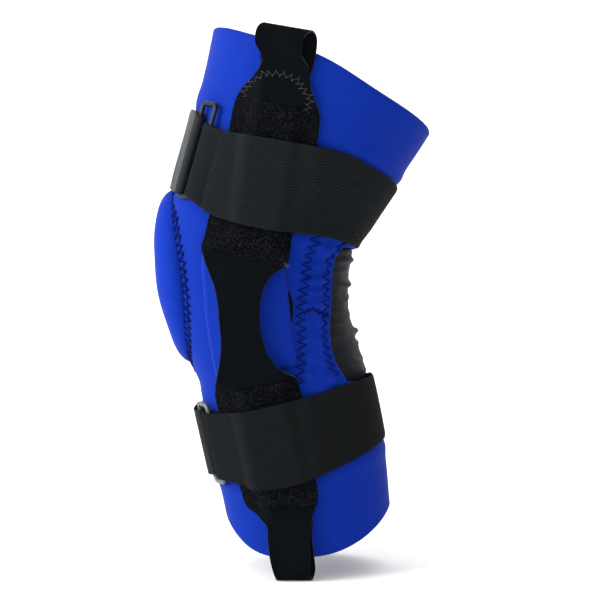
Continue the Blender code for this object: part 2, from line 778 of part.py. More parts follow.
def flap_axis(strap):
    """Ends of the fold line that the closure flap peels about."""
    offset = strap.front_height + BAR_RADIUS + FOLD_ROOM + CLOSURE_THICK
    return [strap.beside_ring(strap.height(strap.front_bar, u), strap.front_bar, offset)
            for u in (0, 1)]


def make_flap(name, material, strap):
    """Webbing from the fold over the front bar, laid back on the front of the sleeve."""
    high = strap.front_height + BAR_RADIUS + FOLD_ROOM + CLOSURE_THICK / 2
    closed = STRAP_GAP + CLOSURE_THICK * 1.5 + HOOK_THICK + GAP * 2
    first = strap.front_bar - 0.5 * MM / strap.stretch(strap.front_bar)
    steps = 16
    path = []
    for k in range(steps + 1):
        t = k / steps
        path.append((mix(first, FLAP_END, t), mix(high, closed, smooth(t / 0.42))))
    pivot = sum(flap_axis(strap), Vector()) / 2
    path.reverse()
    return ribbon(name, material, strap, path, CLOSURE_THICK, inset=EDGE_INSET, pivot=pivot)


def make_hook_patch(name, material, strap):
    """Hook tape on the inner face of the flap's end."""
    steps = 8
    offset = STRAP_GAP + CLOSURE_THICK + GAP + HOOK_THICK / 2
    path = [(mix(FLAP_END + 0.03, HOOK_FRONT, k / steps), offset) for k in range(steps + 1)]
    pivot = sum(flap_axis(strap), Vector()) / 2
    return ribbon(name, material, strap, path, HOOK_THICK, inset=HOOK_INSET, pivot=pivot)


def make_material(name, color, roughness, metallic=0.0):
    material = bpy.data.materials.new(name)
    material.use_nodes = True
    shader = material.node_tree.nodes["Principled BSDF"]
    shader.inputs["Base Color"].default_value = (*color, 1)
    shader.inputs["Roughness"].default_value = roughness
    shader.inputs["Metallic"].default_value = metallic
    material.diffuse_color = (*color, 1)
    return material


for old in list(bpy.data.objects):
    bpy.data.objects.remove(old, do_unlink=True)

MATERIALS = {
    "neoprene": make_material("neoprene", (0.01, 0.05, 0.45), 0.8),
    "stretch_fabric": make_material("stretch_fabric", (0.02, 0.02, 0.022), 0.6),
    "laminate": make_material("laminate", (0.008, 0.01, 0.011), 0.75),
    "loop_pile": make_material("loop_pile", (0.012, 0.013, 0.014), 0.95),
    "elastic": make_material("elastic", (0.016, 0.018, 0.02), 0.8),
    "webbing": make_material("webbing", (0.07, 0.075, 0.08), 0.6),
    "hook_tape": make_material("hook_tape", (0.02, 0.02, 0.02), 0.6),
    "ring_plastic": make_material("ring_plastic", (0.02, 0.02, 0.02), 0.4),
    "foam": make_material("foam", (0.03, 0.03, 0.03), 0.9),
    "aluminium": make_material("aluminium", (0.6, 0.6, 0.62), 0.35, 1.0),
    "steel": make_material("steel", (0.55, 0.55, 0.55), 0.3, 1.0),
    "nylon": make_material("nylon", (0.6, 0.6, 0.58), 0.5),
}

make_sleeve("thigh_sleeve", MATERIALS["neoprene"], lambda a: RIM, lambda a: thigh_edge(a) + GAP,
            6, 48)
make_sleeve("calf_sleeve", MATERIALS["neoprene"], lambda a: CALF_EDGE - GAP, hem_edge, 5, 48)
make_kneecap_panel(MATERIALS["neoprene"])
make_buttress(MATERIALS["foam"])
make_knee_panel("popliteal_panel", MATERIALS["stretch_fabric"], 1, lambda s: STRIP_BACK,
                2 * pi - STRIP_BACK, -2.2 * MM, -0.4 * MM, 9)

for side_name, side in (("lateral", -1), ("medial", 1)):
    sense = -side
    make_knee_panel(side_name + "_knee_panel", MATERIALS["neoprene"], sense, cap_angle,
                    STRIP_FRONT, -WALL, 0.0, 8)
    make_knee_panel(side_name + "_side_strip", MATERIALS["neoprene"], sense,
                    lambda s: STRIP_FRONT, STRIP_BACK, -WALL, 0.0, 2)
    make_pad(side_name + "_hinge_pad", MATERIALS["neoprene"], side)
    make_stay(side_name + "_upper_stay", MATERIALS["aluminium"], side, UPPER, UPPER_STAY_LENGTH)
    make_stay(side_name + "_lower_stay", MATERIALS["aluminium"], side, LOWER, LOWER_STAY_LENGTH,
              NOTCH)
    make_rivet(side_name + "_pivot_rivet", MATERIALS["steel"], side)
    make_washer(side_name + "_hinge_washer", MATERIALS["nylon"], side)
    make_stop_pin(side_name + "_stop_pin", MATERIALS["steel"], side)
    make_cover(side_name + "_cover_upper", MATERIALS["laminate"], side, UPPER,
               [20, 30, *PATCH_STOPS_THIGH, 147, 154, 160])
    make_waist(side_name + "_cover_waist", MATERIALS["laminate"], side)
    make_cover(side_name + "_cover_lower", MATERIALS["laminate"], side, LOWER,
               [20, 30, 40, *PATCH_STOPS_CALF, 130, 140])
    make_patch(side_name + "_loop_patch_thigh", MATERIALS["loop_pile"], side, UPPER,
               PATCH_STOPS_THIGH)
    make_patch(side_name + "_loop_patch_calf", MATERIALS["loop_pile"], side, LOWER,
               PATCH_STOPS_CALF)
    make_pull_loop(side_name + "_pull_loop_top", MATERIALS["laminate"], side, UPPER,
                   UPPER_LOOP_START, 163 * MM, 192 * MM, 5.5 * MM, 0)
    make_pull_loop(side_name + "_pull_loop_bottom", MATERIALS["laminate"], side, LOWER,
                   LOWER_LOOP_START, 143 * MM, 176 * MM, 0, LOWER_LEAN)

STRAPS = {"thigh": Strap(THIGH_TOP, THIGH_BOTTOM, THIGH_RING),
          "calf": Strap(CALF_TOP, CALF_BOTTOM, CALF_RING)}
for place, strap in STRAPS.items():
    make_strap(place + "_strap", MATERIALS["elastic"], strap)
    make_ring(place + "_strap_ring", MATERIALS["ring_plastic"], strap)
    make_closure(place + "_closure_strap", MATERIALS["webbing"], strap)
    make_flap(place + "_closure_flap", MATERIALS["webbing"], strap)
    make_hook_patch(place + "_hook_patch", MATERIALS["hook_tape"], strap)
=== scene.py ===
from math import cos, pi, radians, sin

import bpy
import numpy as np
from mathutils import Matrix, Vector, noise


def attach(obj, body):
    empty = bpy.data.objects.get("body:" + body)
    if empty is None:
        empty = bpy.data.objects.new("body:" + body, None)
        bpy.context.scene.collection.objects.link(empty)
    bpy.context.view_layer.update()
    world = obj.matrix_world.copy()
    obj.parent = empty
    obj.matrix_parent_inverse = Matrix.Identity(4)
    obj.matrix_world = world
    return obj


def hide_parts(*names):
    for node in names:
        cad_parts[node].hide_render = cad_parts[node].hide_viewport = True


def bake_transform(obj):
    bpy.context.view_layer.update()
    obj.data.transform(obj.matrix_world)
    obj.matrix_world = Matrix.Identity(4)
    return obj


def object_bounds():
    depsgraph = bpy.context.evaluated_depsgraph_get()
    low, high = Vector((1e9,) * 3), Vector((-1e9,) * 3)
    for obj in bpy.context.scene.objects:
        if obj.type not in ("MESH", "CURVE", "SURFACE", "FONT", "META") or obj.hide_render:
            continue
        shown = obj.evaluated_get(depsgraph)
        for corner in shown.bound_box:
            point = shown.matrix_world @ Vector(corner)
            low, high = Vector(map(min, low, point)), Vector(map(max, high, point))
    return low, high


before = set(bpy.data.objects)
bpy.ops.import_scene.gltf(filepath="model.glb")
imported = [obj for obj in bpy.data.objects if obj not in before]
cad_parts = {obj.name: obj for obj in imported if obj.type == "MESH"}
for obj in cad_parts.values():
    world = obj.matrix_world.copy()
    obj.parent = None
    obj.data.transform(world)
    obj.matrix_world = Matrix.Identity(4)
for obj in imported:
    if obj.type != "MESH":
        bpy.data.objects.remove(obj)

MM = 0.001
GAP = 0.4 * MM
SEED = 7
rng = np.random.default_rng(SEED)
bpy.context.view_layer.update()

# ---------- the limb form, as in the CAD part
# Height, front x and z, back x and z, half depth (mm) and exponent of each section
LIMB = np.array([
    (-162, -9, -166, 104, -158, 52, 2.2), (-137.5, -13, -141, 101, -134, 53, 2.2),
    (-100, -22, -102, 97, -98, 56, 2.3), (-45.5, -34, -45, 87, -46, 53, 2.6),
    (3, -46, 2, 73, 4, 54, 2.8), (48, -51, 50, 76, 46, 56, 2.7), (73, -49, 84, 86, 62, 60, 2.5),
    (115, -36, 135, 108, 95, 69, 2.3), (163, -22, 199, 129, 127, 76, 2.2),
    (175, -19, 211, 136, 139, 77, 2.2)])
WALL = 4.0 * MM
RIM = 160.5 * MM
HEM = -134.5 * MM
HEM_DIP = 25.5 * MM
RIM_RISE = 5.5 * MM
THIGH_EDGE = 48 * MM
CALF_EDGE = -45.5 * MM
CAP_MIDDLE = 21 * MM
CAP_HALF_HEIGHT = 57 * MM
CAP_HALF_ANGLE = radians(40)
CAP_BULGE = 12.0 * MM
CAP_LEDGE = 0.8 * MM
CAP_DOME = 0.955
CAP_MARGIN = 1.012
CAP_BORE = 0.86
UPPER_LEAN = radians(9.7)
LOWER_LEAN = radians(13.2)
PAD_FACE = 59.6 * MM
STAY_THICK = 2.2 * MM
LOWER_STAY_IN = 61.0 * MM
UPPER_STAY_IN = 63.9 * MM
COVER_PLANE = 67.8 * MM
COVER_THICK = 1.2 * MM
PATCH_THICK = 1.4 * MM
CROWN = 11 * MM
KNEE_RADIUS = 58 * MM


def smooth(x):
    x = np.clip(x, 0.0, 1.0)
    return x * x * (3 - 2 * x)


def ramp(value, start, length):
    """Soft rise from 0 to 1 that begins at start and takes length, both in mm."""
    return smooth((value - start * MM) / (length * MM))


def mix(a, b, t):
    return a + (b - a) * t


def circle(count):
    return np.linspace(0, 2 * pi, count, endpoint=False)


def vec(x, y, z):
    return np.stack(np.broadcast_arrays(x, y, z), axis=-1)


def unit(v):
    return v / np.maximum(np.linalg.norm(v, axis=-1, keepdims=True), 1e-12)


def cubic(t, low, high, slope_low, slope_high):
    """Value at t from 0 to 1 between two values with given slopes."""
    a = 2 * low - 2 * high + slope_low + slope_high
    b = 3 * (high - low) - 2 * slope_low - slope_high
    return ((a * t + b) * t + slope_low) * t + low


def section(s):
    """Front x and z, back x and z, half depth and exponent of the limb sections at heights s."""
    height = np.asarray(s, float) / MM
    last = len(LIMB) - 1
    k = np.clip(np.searchsorted(LIMB[:, 0], height, side="left") - 1, 0, last - 1)
    low, high = LIMB[k], LIMB[k + 1]
    before, after = LIMB[np.maximum(k - 1, 0)], LIMB[np.minimum(k + 2, last)]
    span = (high[..., :1] - low[..., :1])
    t = (height[..., None] - low[..., :1]) / span
    slope_low = (high - before) / (high[..., :1] - before[..., :1]) * span
    slope_high = (after - low) / (after[..., :1] - low[..., :1]) * span
    values = cubic(t, low, high, slope_low, slope_high)
    values = np.where(t < 0, low + slope_low * t, values)
    values = np.where(t > 1, high + slope_high * (t - 1), values)
    return [values[..., c] * (MM if c < 6 else 1) for c in range(1, 7)]


def skin(s, angle):
    fx, fz, bx, bz, depth, power = section(s)
    reach = (np.abs(np.cos(angle)) ** power + np.abs(np.sin(angle)) ** power) ** (-1 / power)
    along = np.cos(angle) * reach
    mx, mz = (fx + bx) / 2, (fz + bz) / 2
    return vec(mx + (fx - mx) * along, -depth * np.sin(angle) * reach, mz + (fz - mz) * along)


def skin_normal(s, angle):
    along = skin(s + 0.5 * MM, angle) - skin(s - 0.5 * MM, angle)
    around = skin(s, angle + 0.01) - skin(s, angle - 0.01)
    return unit(np.cross(around, along))


def limb_point(s, angle, offset):
    s, angle, offset = np.broadcast_arrays(*map(np.asarray, (s, angle, offset)))
    return skin(s, angle) + skin_normal(s, angle) * offset[..., None]


def section_across(x, z):
    """Height s of the section that a place seen from the side lies in, and how far back in it."""
    x, z = np.broadcast_arrays(np.asarray(x, float), np.asarray(z, float))
    low, high = np.full(x.shape, -0.25), np.full(x.shape, 0.30)
    for _ in range(30):
        s = (low + high) / 2
        fx, fz, bx, bz, depth, power = section(s)
        above = (z - fz) * (bx - fx) - (x - fx) * (bz - fz) > 0
        low, high = np.where(above, s, low), np.where(above, high, s)
    hx, hz = (bx - fx) / 2, (bz - fz) / 2
    across = ((x - (fx + bx) / 2) * hx + (z - (fz + bz) / 2) * hz) / (hx * hx + hz * hz)
    return s, np.clip(across, -0.98, 0.98), depth, power


def side_depth(x, z):
    s, across, depth, power = section_across(x, z)
    return depth * (1 - np.abs(across) ** power) ** (1 / power)


def locate(places):
    """Heights and angles on the lateral side of places given as (x, z) in mm, seen from the side."""
    places = np.asarray(places, float) * MM
    s, across, depth, power = section_across(places[:, 0], places[:, 1])
    return s, np.arctan2((1 - np.abs(across) ** power) ** (1 / power), -across)


def run_along(points):
    """Distance from the first point to each point of a line."""
    return np.concatenate([[0], np.cumsum(np.linalg.norm(np.diff(points, axis=0), axis=1))])


def read_at(at, run, points):
    return np.stack([np.interp(at, run, column) for column in points.T], axis=1)


def curve_through(points, count):
    """Evenly spaced points on a smooth line through the given ones (Catmull-Rom)."""
    p = np.asarray(points, float)
    p = np.vstack([2 * p[0] - p[1], p, 2 * p[-1] - p[-2]])
    fine = []
    for k in range(1, len(p) - 2):
        t = np.linspace(0, 1, 24, endpoint=False)[:, None]
        fine.append(0.5 * (2 * p[k] + (p[k + 1] - p[k - 1]) * t
                           + (2 * p[k - 1] - 5 * p[k] + 4 * p[k + 1] - p[k + 2]) * t ** 2
                           + (3 * p[k] - 3 * p[k + 1] + p[k + 2] - p[k - 1]) * t ** 3))
    fine = np.vstack(fine + [p[-2:-1]])
    run = run_along(fine)
    return read_at(np.linspace(0, run[-1], count), run, fine)


def between(value, low, high, soft):
    """1 between two limits and 0 outside, with soft ends."""
    return smooth((high - value) / soft) * smooth((value - low) / soft)


def bell(value, centre, width):
    return np.exp(-((value - centre) / width) ** 2)


def eased(x, rows, column):
    """Value read from a table of rows, eased between them so that there is no overshoot."""
    rows = np.asarray(rows, float)
    xs, ys = rows[:, 0], rows[:, column]
    step = np.diff(xs)
    slope = np.diff(ys) / step
    before, after = slope[:-1], slope[1:]
    inner = np.where(before * after > 0, 2 * before * after / (before + after + 1e-12), 0)
    d = np.concatenate([[slope[0]], inner, [slope[-1]]])
    k = np.clip(np.searchsorted(xs, x) - 1, 0, len(xs) - 2)
    t = np.clip((x - xs[k]) / step[k], 0, 1)
    return cubic(t, ys[k], ys[k + 1], d[k] * step[k], d[k + 1] * step[k])


def wobble(points, scale, seed=0):
    """Smooth noise from -1 to 1 at points given in metres."""
    flat = np.asarray(points).reshape(-1, 3) * scale + seed * 17.3
    return np.array([noise.noise(p) for p in flat.tolist()]).reshape(np.shape(points)[:-1])


# ---------- materials
def linear(rgb):
    """Opaque linear colour of an sRGB colour given as 0 to 255."""
    return (*(((c / 255 + 0.055) / 1.055) ** 2.4 if c > 10 else c / 255 / 12.92 for c in rgb), 1)


def material(name, dark, light, roughness, specular, scale, detail=3, bump=0.0, sheen=0.0,
             metallic=0.0, stretch=(1, 1, 1)):
    """Procedural material: fine noise between two colours, with a small bump of the same noise."""
    dark, light = linear(dark), linear(light)
    mat = bpy.data.materials.new(name)
    mat.use_nodes = True
    nodes, links = mat.node_tree.nodes, mat.node_tree.links
    shader = nodes["Principled BSDF"]
    for socket, value in (("Roughness", roughness), ("Metallic", metallic), ("Sheen Weight", sheen),
                          ("Specular IOR Level", specular), ("Sheen Roughness", 0.4)):
        shader.inputs[socket].default_value = value
    where = nodes.new("ShaderNodeTexCoord")
    place = nodes.new("ShaderNodeMapping")
    place.inputs["Scale"].default_value = stretch
    grain = nodes.new("ShaderNodeTexNoise")
    grain.inputs["Scale"].default_value = scale
    grain.inputs["Detail"].default_value = detail
    ramp = nodes.new("ShaderNodeMix")
    ramp.data_type = "RGBA"
    ramp.inputs[6].default_value = dark
    ramp.inputs[7].default_value = light
    links.new(where.outputs["Object"], place.inputs["Vector"])
    links.new(place.outputs["Vector"], grain.inputs["Vector"])
    links.new(grain.outputs["Fac"], ramp.inputs[0])
    links.new(ramp.outputs[2], shader.inputs["Base Color"])
    if bump:
        lift = nodes.new("ShaderNodeBump")
        lift.inputs["Strength"].default_value = bump
        lift.inputs["Distance"].default_value = 0.3 * MM
        links.new(grain.outputs["Fac"], lift.inputs["Height"])
        links.new(lift.outputs["Normal"], shader.inputs["Normal"])
    mat.diffuse_color = light
    return mat


BLUE = material("jersey_blue", (4, 30, 116), (9, 45, 150), 0.85, 0.06, 1500, 2, 0.3, 0.04)
CAP_BLUE = material("jersey_ribbed_blue", (4, 30, 118), (11, 49, 158), 0.85, 0.06, 800, 1, 0.4, 0.04,
                    stretch=(1, 1.8, 1))
LINING = material("lining_blue", (6, 30, 116), (10, 42, 140), 0.9, 0.05, 1400, 2, 0.2)
THREAD = material("thread_navy", (3, 9, 48), (7, 17, 74), 0.85, 0.05, 2500)
THREAD_PALE = material("thread_pale", (50, 49, 45), (86, 84, 78), 0.85, 0.05, 2500)
LAMINATE = material("laminate_black", (4, 7, 10), (9, 12, 16), 0.85, 0.03, 1600, 2, 0.1)
# Grey for the cut edges of the covers, loops and pad sheet: partly the raw edge, partly a painted
# highlight along those edges
RAW_EDGE_AND_HIGHLIGHT = material("raw_edge_and_highlight_grey", (34, 36, 38), (72, 74, 76), 0.9, 0.05, 900)
PILE = material("loop_pile_black", (2, 3, 5), (13, 15, 18), 0.95, 0.02, 1300, 4, 0.6)
# Fibres lighter grey than the black pile ground: painted glints where light catches the loops
FIBRE_GLINT_GREY = material("pile_fibre_painted_glint", (7, 8, 10), (52, 54, 58), 0.7, 0.1, 420, 2)
ELASTIC = material("elastic_black", (11, 14, 16), (29, 32, 35), 0.85, 0.06, 1500, 2, 0.2)
ELASTIC_FINE = material("elastic_fine_black", (10, 12, 14), (21, 24, 26), 0.85, 0.06, 1500, 2, 0.15)
STRETCH = material("stretch_satin", (9, 12, 15), (21, 24, 28), 0.6, 0.1, 1200, 2, 0.1)
WEBBING = material("webbing_grey", (46, 50, 53), (66, 70, 73), 0.65, 0.2, 1300, 2, 0.1)
WEBBING_DARK = material("webbing_charcoal", (22, 24, 26), (36, 39, 41), 0.7, 0.1, 1300, 2, 0.1)
HOOK = material("hook_tape_black", (8, 9, 10), (22, 23, 24), 0.6, 0.2, 900, 2, 0.3)
RING = material("ring_plastic_black", (6, 8, 10), (14, 16, 18), 0.4, 0.25, 400)
FOAM = material("foam_grey", (36, 37, 39), (50, 51, 54), 0.95, 0.1, 900, 4, 0.3)
ALLOY = material("aluminium_brushed", (150, 152, 156), (188, 190, 194), 0.35, 0.5, 200, 2, 0.05,
                 metallic=1.0, stretch=(1, 1, 0.05))
# Calf ring: grey half-metal, lighter than the thigh ring's black plastic; the grey is a painted highlight
# for the glints on the ring's ends
RING_GREY_GLINT = material("ring_grey_painted_glint", (70, 72, 74), (104, 106, 108), 0.4, 0.5, 400, metallic=0.5)
STEEL = material("steel_plain", (140, 140, 142), (176, 176, 178), 0.3, 0.5, 300, 2, metallic=1.0)
NYLON = material("nylon_natural", (190, 188, 178), (214, 212, 204), 0.5, 0.5, 300)


# ---------- mesh helpers
def new_object(name, data):
    obj = bpy.data.objects.new(name, data)
    bpy.context.scene.collection.objects.link(obj)
    return obj


def mesh_object(name, verts, faces, materials, face_materials=None):
    mesh = bpy.data.meshes.new(name)
    mesh.from_pydata(np.asarray(verts).tolist(), [], [list(map(int, f)) for f in faces])
    for mat in materials:
        mesh.materials.append(mat)
    if face_materials is not None:
        mesh.polygons.foreach_set("material_index", np.asarray(face_materials, np.int32))
    mesh.shade_smooth()
    mesh.update()
    return new_object(name, mesh)


def grid_faces(rows, cols, wrap=False):
    """Quads of a grid of points with rows x cols points, closed across if wrap."""
    i = np.arange(rows - 1)[:, None]
    j = np.arange(cols if wrap else cols - 1)[None, :]
    right = (j + 1) % cols
    a, b = i * cols + j, i * cols + right
    return np.stack([a, b, b + cols, a + cols], axis=-1).reshape(-1, 4)


def grid_normals(grid):
    return unit(np.cross(np.gradient(grid, axis=1), np.gradient(grid, axis=0)))


def thick_sheet(name, outer, inner, faces, materials, bulge=0.0, rim=0, inside=0):
    """Closed sheet between two matching sets of points, with a rounded edge all round."""
    n = len(outer)
    faces = np.asarray(faces)
    p = outer[faces]
    normal = np.cross(p[:, 2] - p[:, 0], p[:, 3] - p[:, 1])
    if np.einsum("ij,ij->i", normal, (outer - inner)[faces[:, 0]]).sum() < 0:
        faces = faces[:, ::-1]
    start, stop = faces.reshape(-1), np.roll(faces, -1, axis=1).reshape(-1)
    keys = start * n + stop
    edge = ~np.isin(stop * n + start, keys)
    a, b = start[edge], stop[edge]
    out = np.zeros((n, 3))
    push = np.cross(outer[b] - outer[a], (outer - inner)[a])
    np.add.at(out, a, push)
    np.add.at(out, b, push)
    out = unit(out)
    verts, levels = [outer, inner], []
    ids = np.unique(np.concatenate([a, b]))
    slot = np.full(n, -1)
    slot[ids] = np.arange(len(ids))
    for part, reach in ((0.15, 0.7), (0.5, 1.0), (0.85, 0.7)):
        levels.append(sum(len(v) for v in verts))
        verts.append(mix(outer[ids], inner[ids], part) + out[ids] * (bulge * reach))
    chain_a = [a] + [lv + slot[a] for lv in levels] + [n + a]
    chain_b = [b] + [lv + slot[b] for lv in levels] + [n + b]
    rims = [np.stack([chain_b[k], chain_a[k], chain_a[k + 1], chain_b[k + 1]], axis=1)
            for k in range(4)]
    every = np.vstack([faces, faces[:, ::-1] + n, *rims])
    kinds = [0] * len(faces) + [inside] * len(faces) + [rim] * (4 * len(a))
    verts = np.vstack(verts)
    keep = np.zeros(len(verts), bool)
    keep[every] = True
    index = np.cumsum(keep) - 1
    return mesh_object(name, verts[keep], index[every], materials, kinds)


def thick_grid(name, outer, inner, materials, bulge, wrap=False, rim=0, inside=0):
    """Closed sheet between two matching grids of points, closed across if wrap."""
    return thick_sheet(name, outer.reshape(-1, 3), inner.reshape(-1, 3),
                       grid_faces(*outer.shape[:2], wrap), materials, bulge, rim, inside)


def grid_sheet(name, grid, thick, materials, bulge=0.3 * MM, rim=0, raised=0.0):
    """Sheet along a grid of points on its middle surface, raised by amounts on its outer face."""
    normals = grid_normals(grid)
    outer = grid + normals * (thick / 2 + np.asarray(raised))[..., None]
    return thick_grid(name, outer, grid - normals * (thick / 2), materials, bulge, rim=rim)


def round_bar(line, side, up, sides, radius, flat=1.0):
    """Rings of points round a line, given the directions to its side and up from it."""
    turn = circle(sides)[:, None]
    return line[:, None] + (side[:, None] * np.cos(turn) + up[:, None] * flat * np.sin(turn)) * radius


def threads(name, lines, radius, mat, sides=5):
    """Round threads along lines of points, each line an array of points."""
    verts, faces, total = [], [], 0
    for line in lines:
        line = np.asarray(line)
        tangent = unit(np.gradient(line, axis=0))
        side = unit(np.cross(tangent, np.array([0.13, 1.0, 0.21])))
        count = len(line)
        verts.append(round_bar(line, side, np.cross(side, tangent), sides, radius).reshape(-1, 3))
        faces += [list(f) for f in grid_faces(count, sides, True) + total]
        faces += [[total + j for j in range(sides)][::-1],
                  [total + (count - 1) * sides + j for j in range(sides)]]
        total += count * sides
    return mesh_object(name, np.vstack(verts), faces, [mat])


def bend(obj):
    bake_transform(obj)
    return obj



# ---------- sleeve
# Where the blue sleeve ends and the dark panel behind the knee begins, and the two rows of
# stitches in front of that, seen from the side (x and z in mm)
POP_EDGE = [(72, 52), (61.5, 38), (59.2, 20), (58.6, 5), (57.6, -10), (59.8, -27), (67, -42),
            (74, -50)]
ROW_FRONT = [(50, 56), (43, 35), (41, 20), (38, 3), (39, -17), (37.5, -52)]
ROW_BACK = [(68, 50), (57.8, 36), (55.9, 20), (55.3, 5), (54.2, -10), (56.4, -27), (62.5, -41)]
ROW_PITCH = 5.6 * MM
ROW_TOP = 58 * MM
ROW_LOW = -47 * MM


def angle_at(s, line):
    order = np.argsort(line[0])
    return np.interp(s, line[0][order], line[1][order])


POP_LINE, FRONT_LINE, BACK_LINE = [locate(curve_through(places, 120))
                                   for places in (POP_EDGE, ROW_FRONT, ROW_BACK)]


def hem_edge(angle):
    side = np.sin(angle) ** 2
    return HEM - HEM_DIP * np.where(np.cos(angle) > 0, 1 - (1 - side) ** 2.2, side)


# Edges of the straps: angle round the sleeve from the front (degrees), height (mm)
THIGH_TOP = [(0, 118), (30, 119), (46, 110.5), (60, 109.5), (90, 112.5), (115, 114.5), (135, 111),
             (165, 107), (180, 106.5), (200, 107.5), (240, 112), (270, 113.5), (316, 113), (340, 116)]
THIGH_BOTTOM = [(0, 77.5), (15, 76.5), (30, 74.5), (46, 70.5), (60, 63), (76, 59.8), (94, 57.6),
                (111, 56.3), (129, 54), (150, 50), (180, 49), (210, 50), (235, 54), (270, 59),
                (300, 64), (316, 70), (340, 76)]
CALF_TOP = [(0, -60), (25, -62), (42, -65), (62, -64.3), (78, -61.5), (105, -54), (129, -46.5),
            (161, -42), (180, -41.5), (199, -42), (231, -46.5), (255, -54), (282, -60), (300, -62),
            (318, -62), (340, -60.5)]
CALF_BOTTOM = [(0, -103), (25, -104), (42, -107.5), (63, -112), (88, -110), (119, -100),
               (140, -92), (159, -87.5), (180, -86), (201, -87.5), (220, -92), (241, -100),
               (272, -109), (297, -110), (318, -106), (340, -103.5)]


def edge_height(rows, angle):
    """Height of a strap's edge at angles, read smoothly from a closed table."""
    rows = np.asarray(rows, float)
    count = len(rows)
    turn = np.degrees(angle) % 360
    k = np.searchsorted(rows[:, 0], turn, side="right") - 1
    (x0, y0), (x1, y1), (x2, y2), (x3, y3) = [
        (rows[(k + step) % count, 0] + 360 * ((k + step) // count), rows[(k + step) % count, 1])
        for step in (-1, 0, 1, 2)]
    span = x2 - x1
    slopes = (y2 - y0) / (x2 - x0) * span, (y3 - y1) / (x3 - x1) * span
    return cubic((turn - x1) / span, y1, y2, *slopes) * MM


def relief(s, angle):
    """Small swells and puckers of the sleeve: full beside the straps, gathered between seams."""
    turn = np.abs((angle + pi) % (2 * pi) - pi)
    swell = np.zeros(np.shape(s))
    for edge, sense in ((THIGH_TOP, 1), (THIGH_BOTTOM, -1), (CALF_TOP, 1), (CALF_BOTTOM, -1)):
        swell += 1.3 * MM * bell((s - edge_height(edge, angle)) * sense, 7 * MM, 5.5 * MM)
    shin_dent = 2.6 * MM * bell(s, -52 * MM, 9 * MM)
    swell -= shin_dent * smooth((1.0 - turn) / 0.7)
    point = skin(s, angle)
    swell += 0.55 * MM * wobble(point, 28, 1)
    for line in (FRONT_LINE, BACK_LINE):
        near = bell((turn - angle_at(s, line)) * KNEE_RADIUS, 0, 3.4 * MM)
        tucks = 0.9 * MM + 0.6 * MM * np.sin(2 * pi * s / ROW_PITCH)
        swell -= near * between(s, -55 * MM, 60 * MM, 10 * MM) * tucks
    strip = between(turn, angle_at(s, FRONT_LINE), angle_at(s, BACK_LINE), 0.06)
    strip *= between(s, -52 * MM, 58 * MM, 10 * MM)
    gathers = np.sin(s / MM * 2 * pi / 11 + 5 * wobble(point, 30, 5)) + 1.1 * wobble(point, 160, 3)
    swell += strip * (0.9 * MM + 1.7 * MM * gathers)
    return swell


def on_sleeve(s, angle, lift):
    return limb_point(s, angle, relief(s, angle) + lift)


def cap_radius(s, angle):
    turn = (angle + pi) % (2 * pi) - pi
    return np.hypot((s - CAP_MIDDLE) / CAP_HALF_HEIGHT, turn / CAP_HALF_ANGLE)


def cap_place(r, turn):
    """Height and angle of a spot on the kneecap panel: r is 0 in its middle and 1 at its edge."""
    return CAP_MIDDLE + CAP_HALF_HEIGHT * r * np.cos(turn), CAP_HALF_ANGLE * r * np.sin(turn)


def make_sleeve():
    """One neoprene shell, bored for the kneecap panel and open behind the knee."""
    window = np.linspace(THIGH_EDGE, CALF_EDGE, 53)
    above = np.linspace(RIM, THIGH_EDGE, 60)[:-1]
    rows_above, rows_in = len(above), len(window)
    front, side, back = 60, 22, 34
    part = np.concatenate([np.linspace(0, 1, front, endpoint=False),
                           np.linspace(1, 2, side, endpoint=False), np.linspace(2, 3, back + 1)])
    part = np.concatenate([part, 6 - part[1:-1][::-1]])
    u_below = np.linspace(0, 1, 56)[1:]
    edge_s = np.concatenate([above, window, np.full(len(u_below), CALF_EDGE)])
    strip, pop = angle_at(edge_s, FRONT_LINE), angle_at(edge_s, POP_LINE)
    turn = np.where(part > 3, 6 - part, part)[None, :]
    first = mix(0, strip[:, None], np.clip(turn, 0, 1))
    angle = first + (pop - strip)[:, None] * np.clip(turn - 1, 0, 1)
    angle = angle + (pi - pop)[:, None] * np.clip(turn - 2, 0, 1)
    angle = np.where(part[None, :] > 3, 2 * pi - angle, angle)
    s = np.repeat(edge_s[:, None], len(part), axis=1)
    around = angle[:rows_above]
    rim_wave = 0.6 * MM * np.sin(3 * around + 0.6)
    rim_wave += RIM_RISE * bell(np.minimum(around, 2 * pi - around), 1.52, 0.45)
    rim_wave *= ramp(s[:rows_above], 120, 40)
    s[:rows_above] += rim_wave
    s[rows_above + rows_in:] = mix(CALF_EDGE, hem_edge(angle[rows_above + rows_in:]), u_below[:, None])
    rows, cols = s.shape
    faces = grid_faces(rows, cols, True)
    i, j = np.divmod(faces[:, 0], cols)
    opened = (i >= rows_above) & (i < rows_above + rows_in - 1) & (part[j] >= 2) & (part[j] < 4)
    flat_s = s.reshape(-1)
    flat_a = np.where(angle > pi, angle - 2 * pi, angle).reshape(-1)
    narrow = np.ptp(flat_a[faces], axis=1) < pi
    bored = narrow & (cap_radius(flat_s[faces].mean(axis=1), flat_a[faces].mean(axis=1)) < CAP_BORE)
    kept = np.zeros(rows * cols, bool)
    kept[faces[~(opened | bored)]] = True
    lip = np.unique(faces[bored][kept[faces[bored]]])
    faces = faces[~(opened | bored)]
    scale = CAP_BORE / cap_radius(flat_s[lip], flat_a[lip])
    flat_s[lip] = CAP_MIDDLE + (flat_s[lip] - CAP_MIDDLE) * scale
    flat_a[lip] = flat_a[lip] * scale
    rise = relief(flat_s, flat_a)
    outer = limb_point(flat_s, flat_a, rise)
    inner = limb_point(flat_s, flat_a, rise * 0.5 - WALL)
    obj = thick_sheet("sleeve_shell", outer, inner, faces, [BLUE, LINING], 1.1 * MM, 0, 1)
    return bend(obj)


sleeve = make_sleeve()
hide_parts("thigh_sleeve", "calf_sleeve", "lateral_knee_panel", "medial_knee_panel",
            "lateral_side_strip", "medial_side_strip")


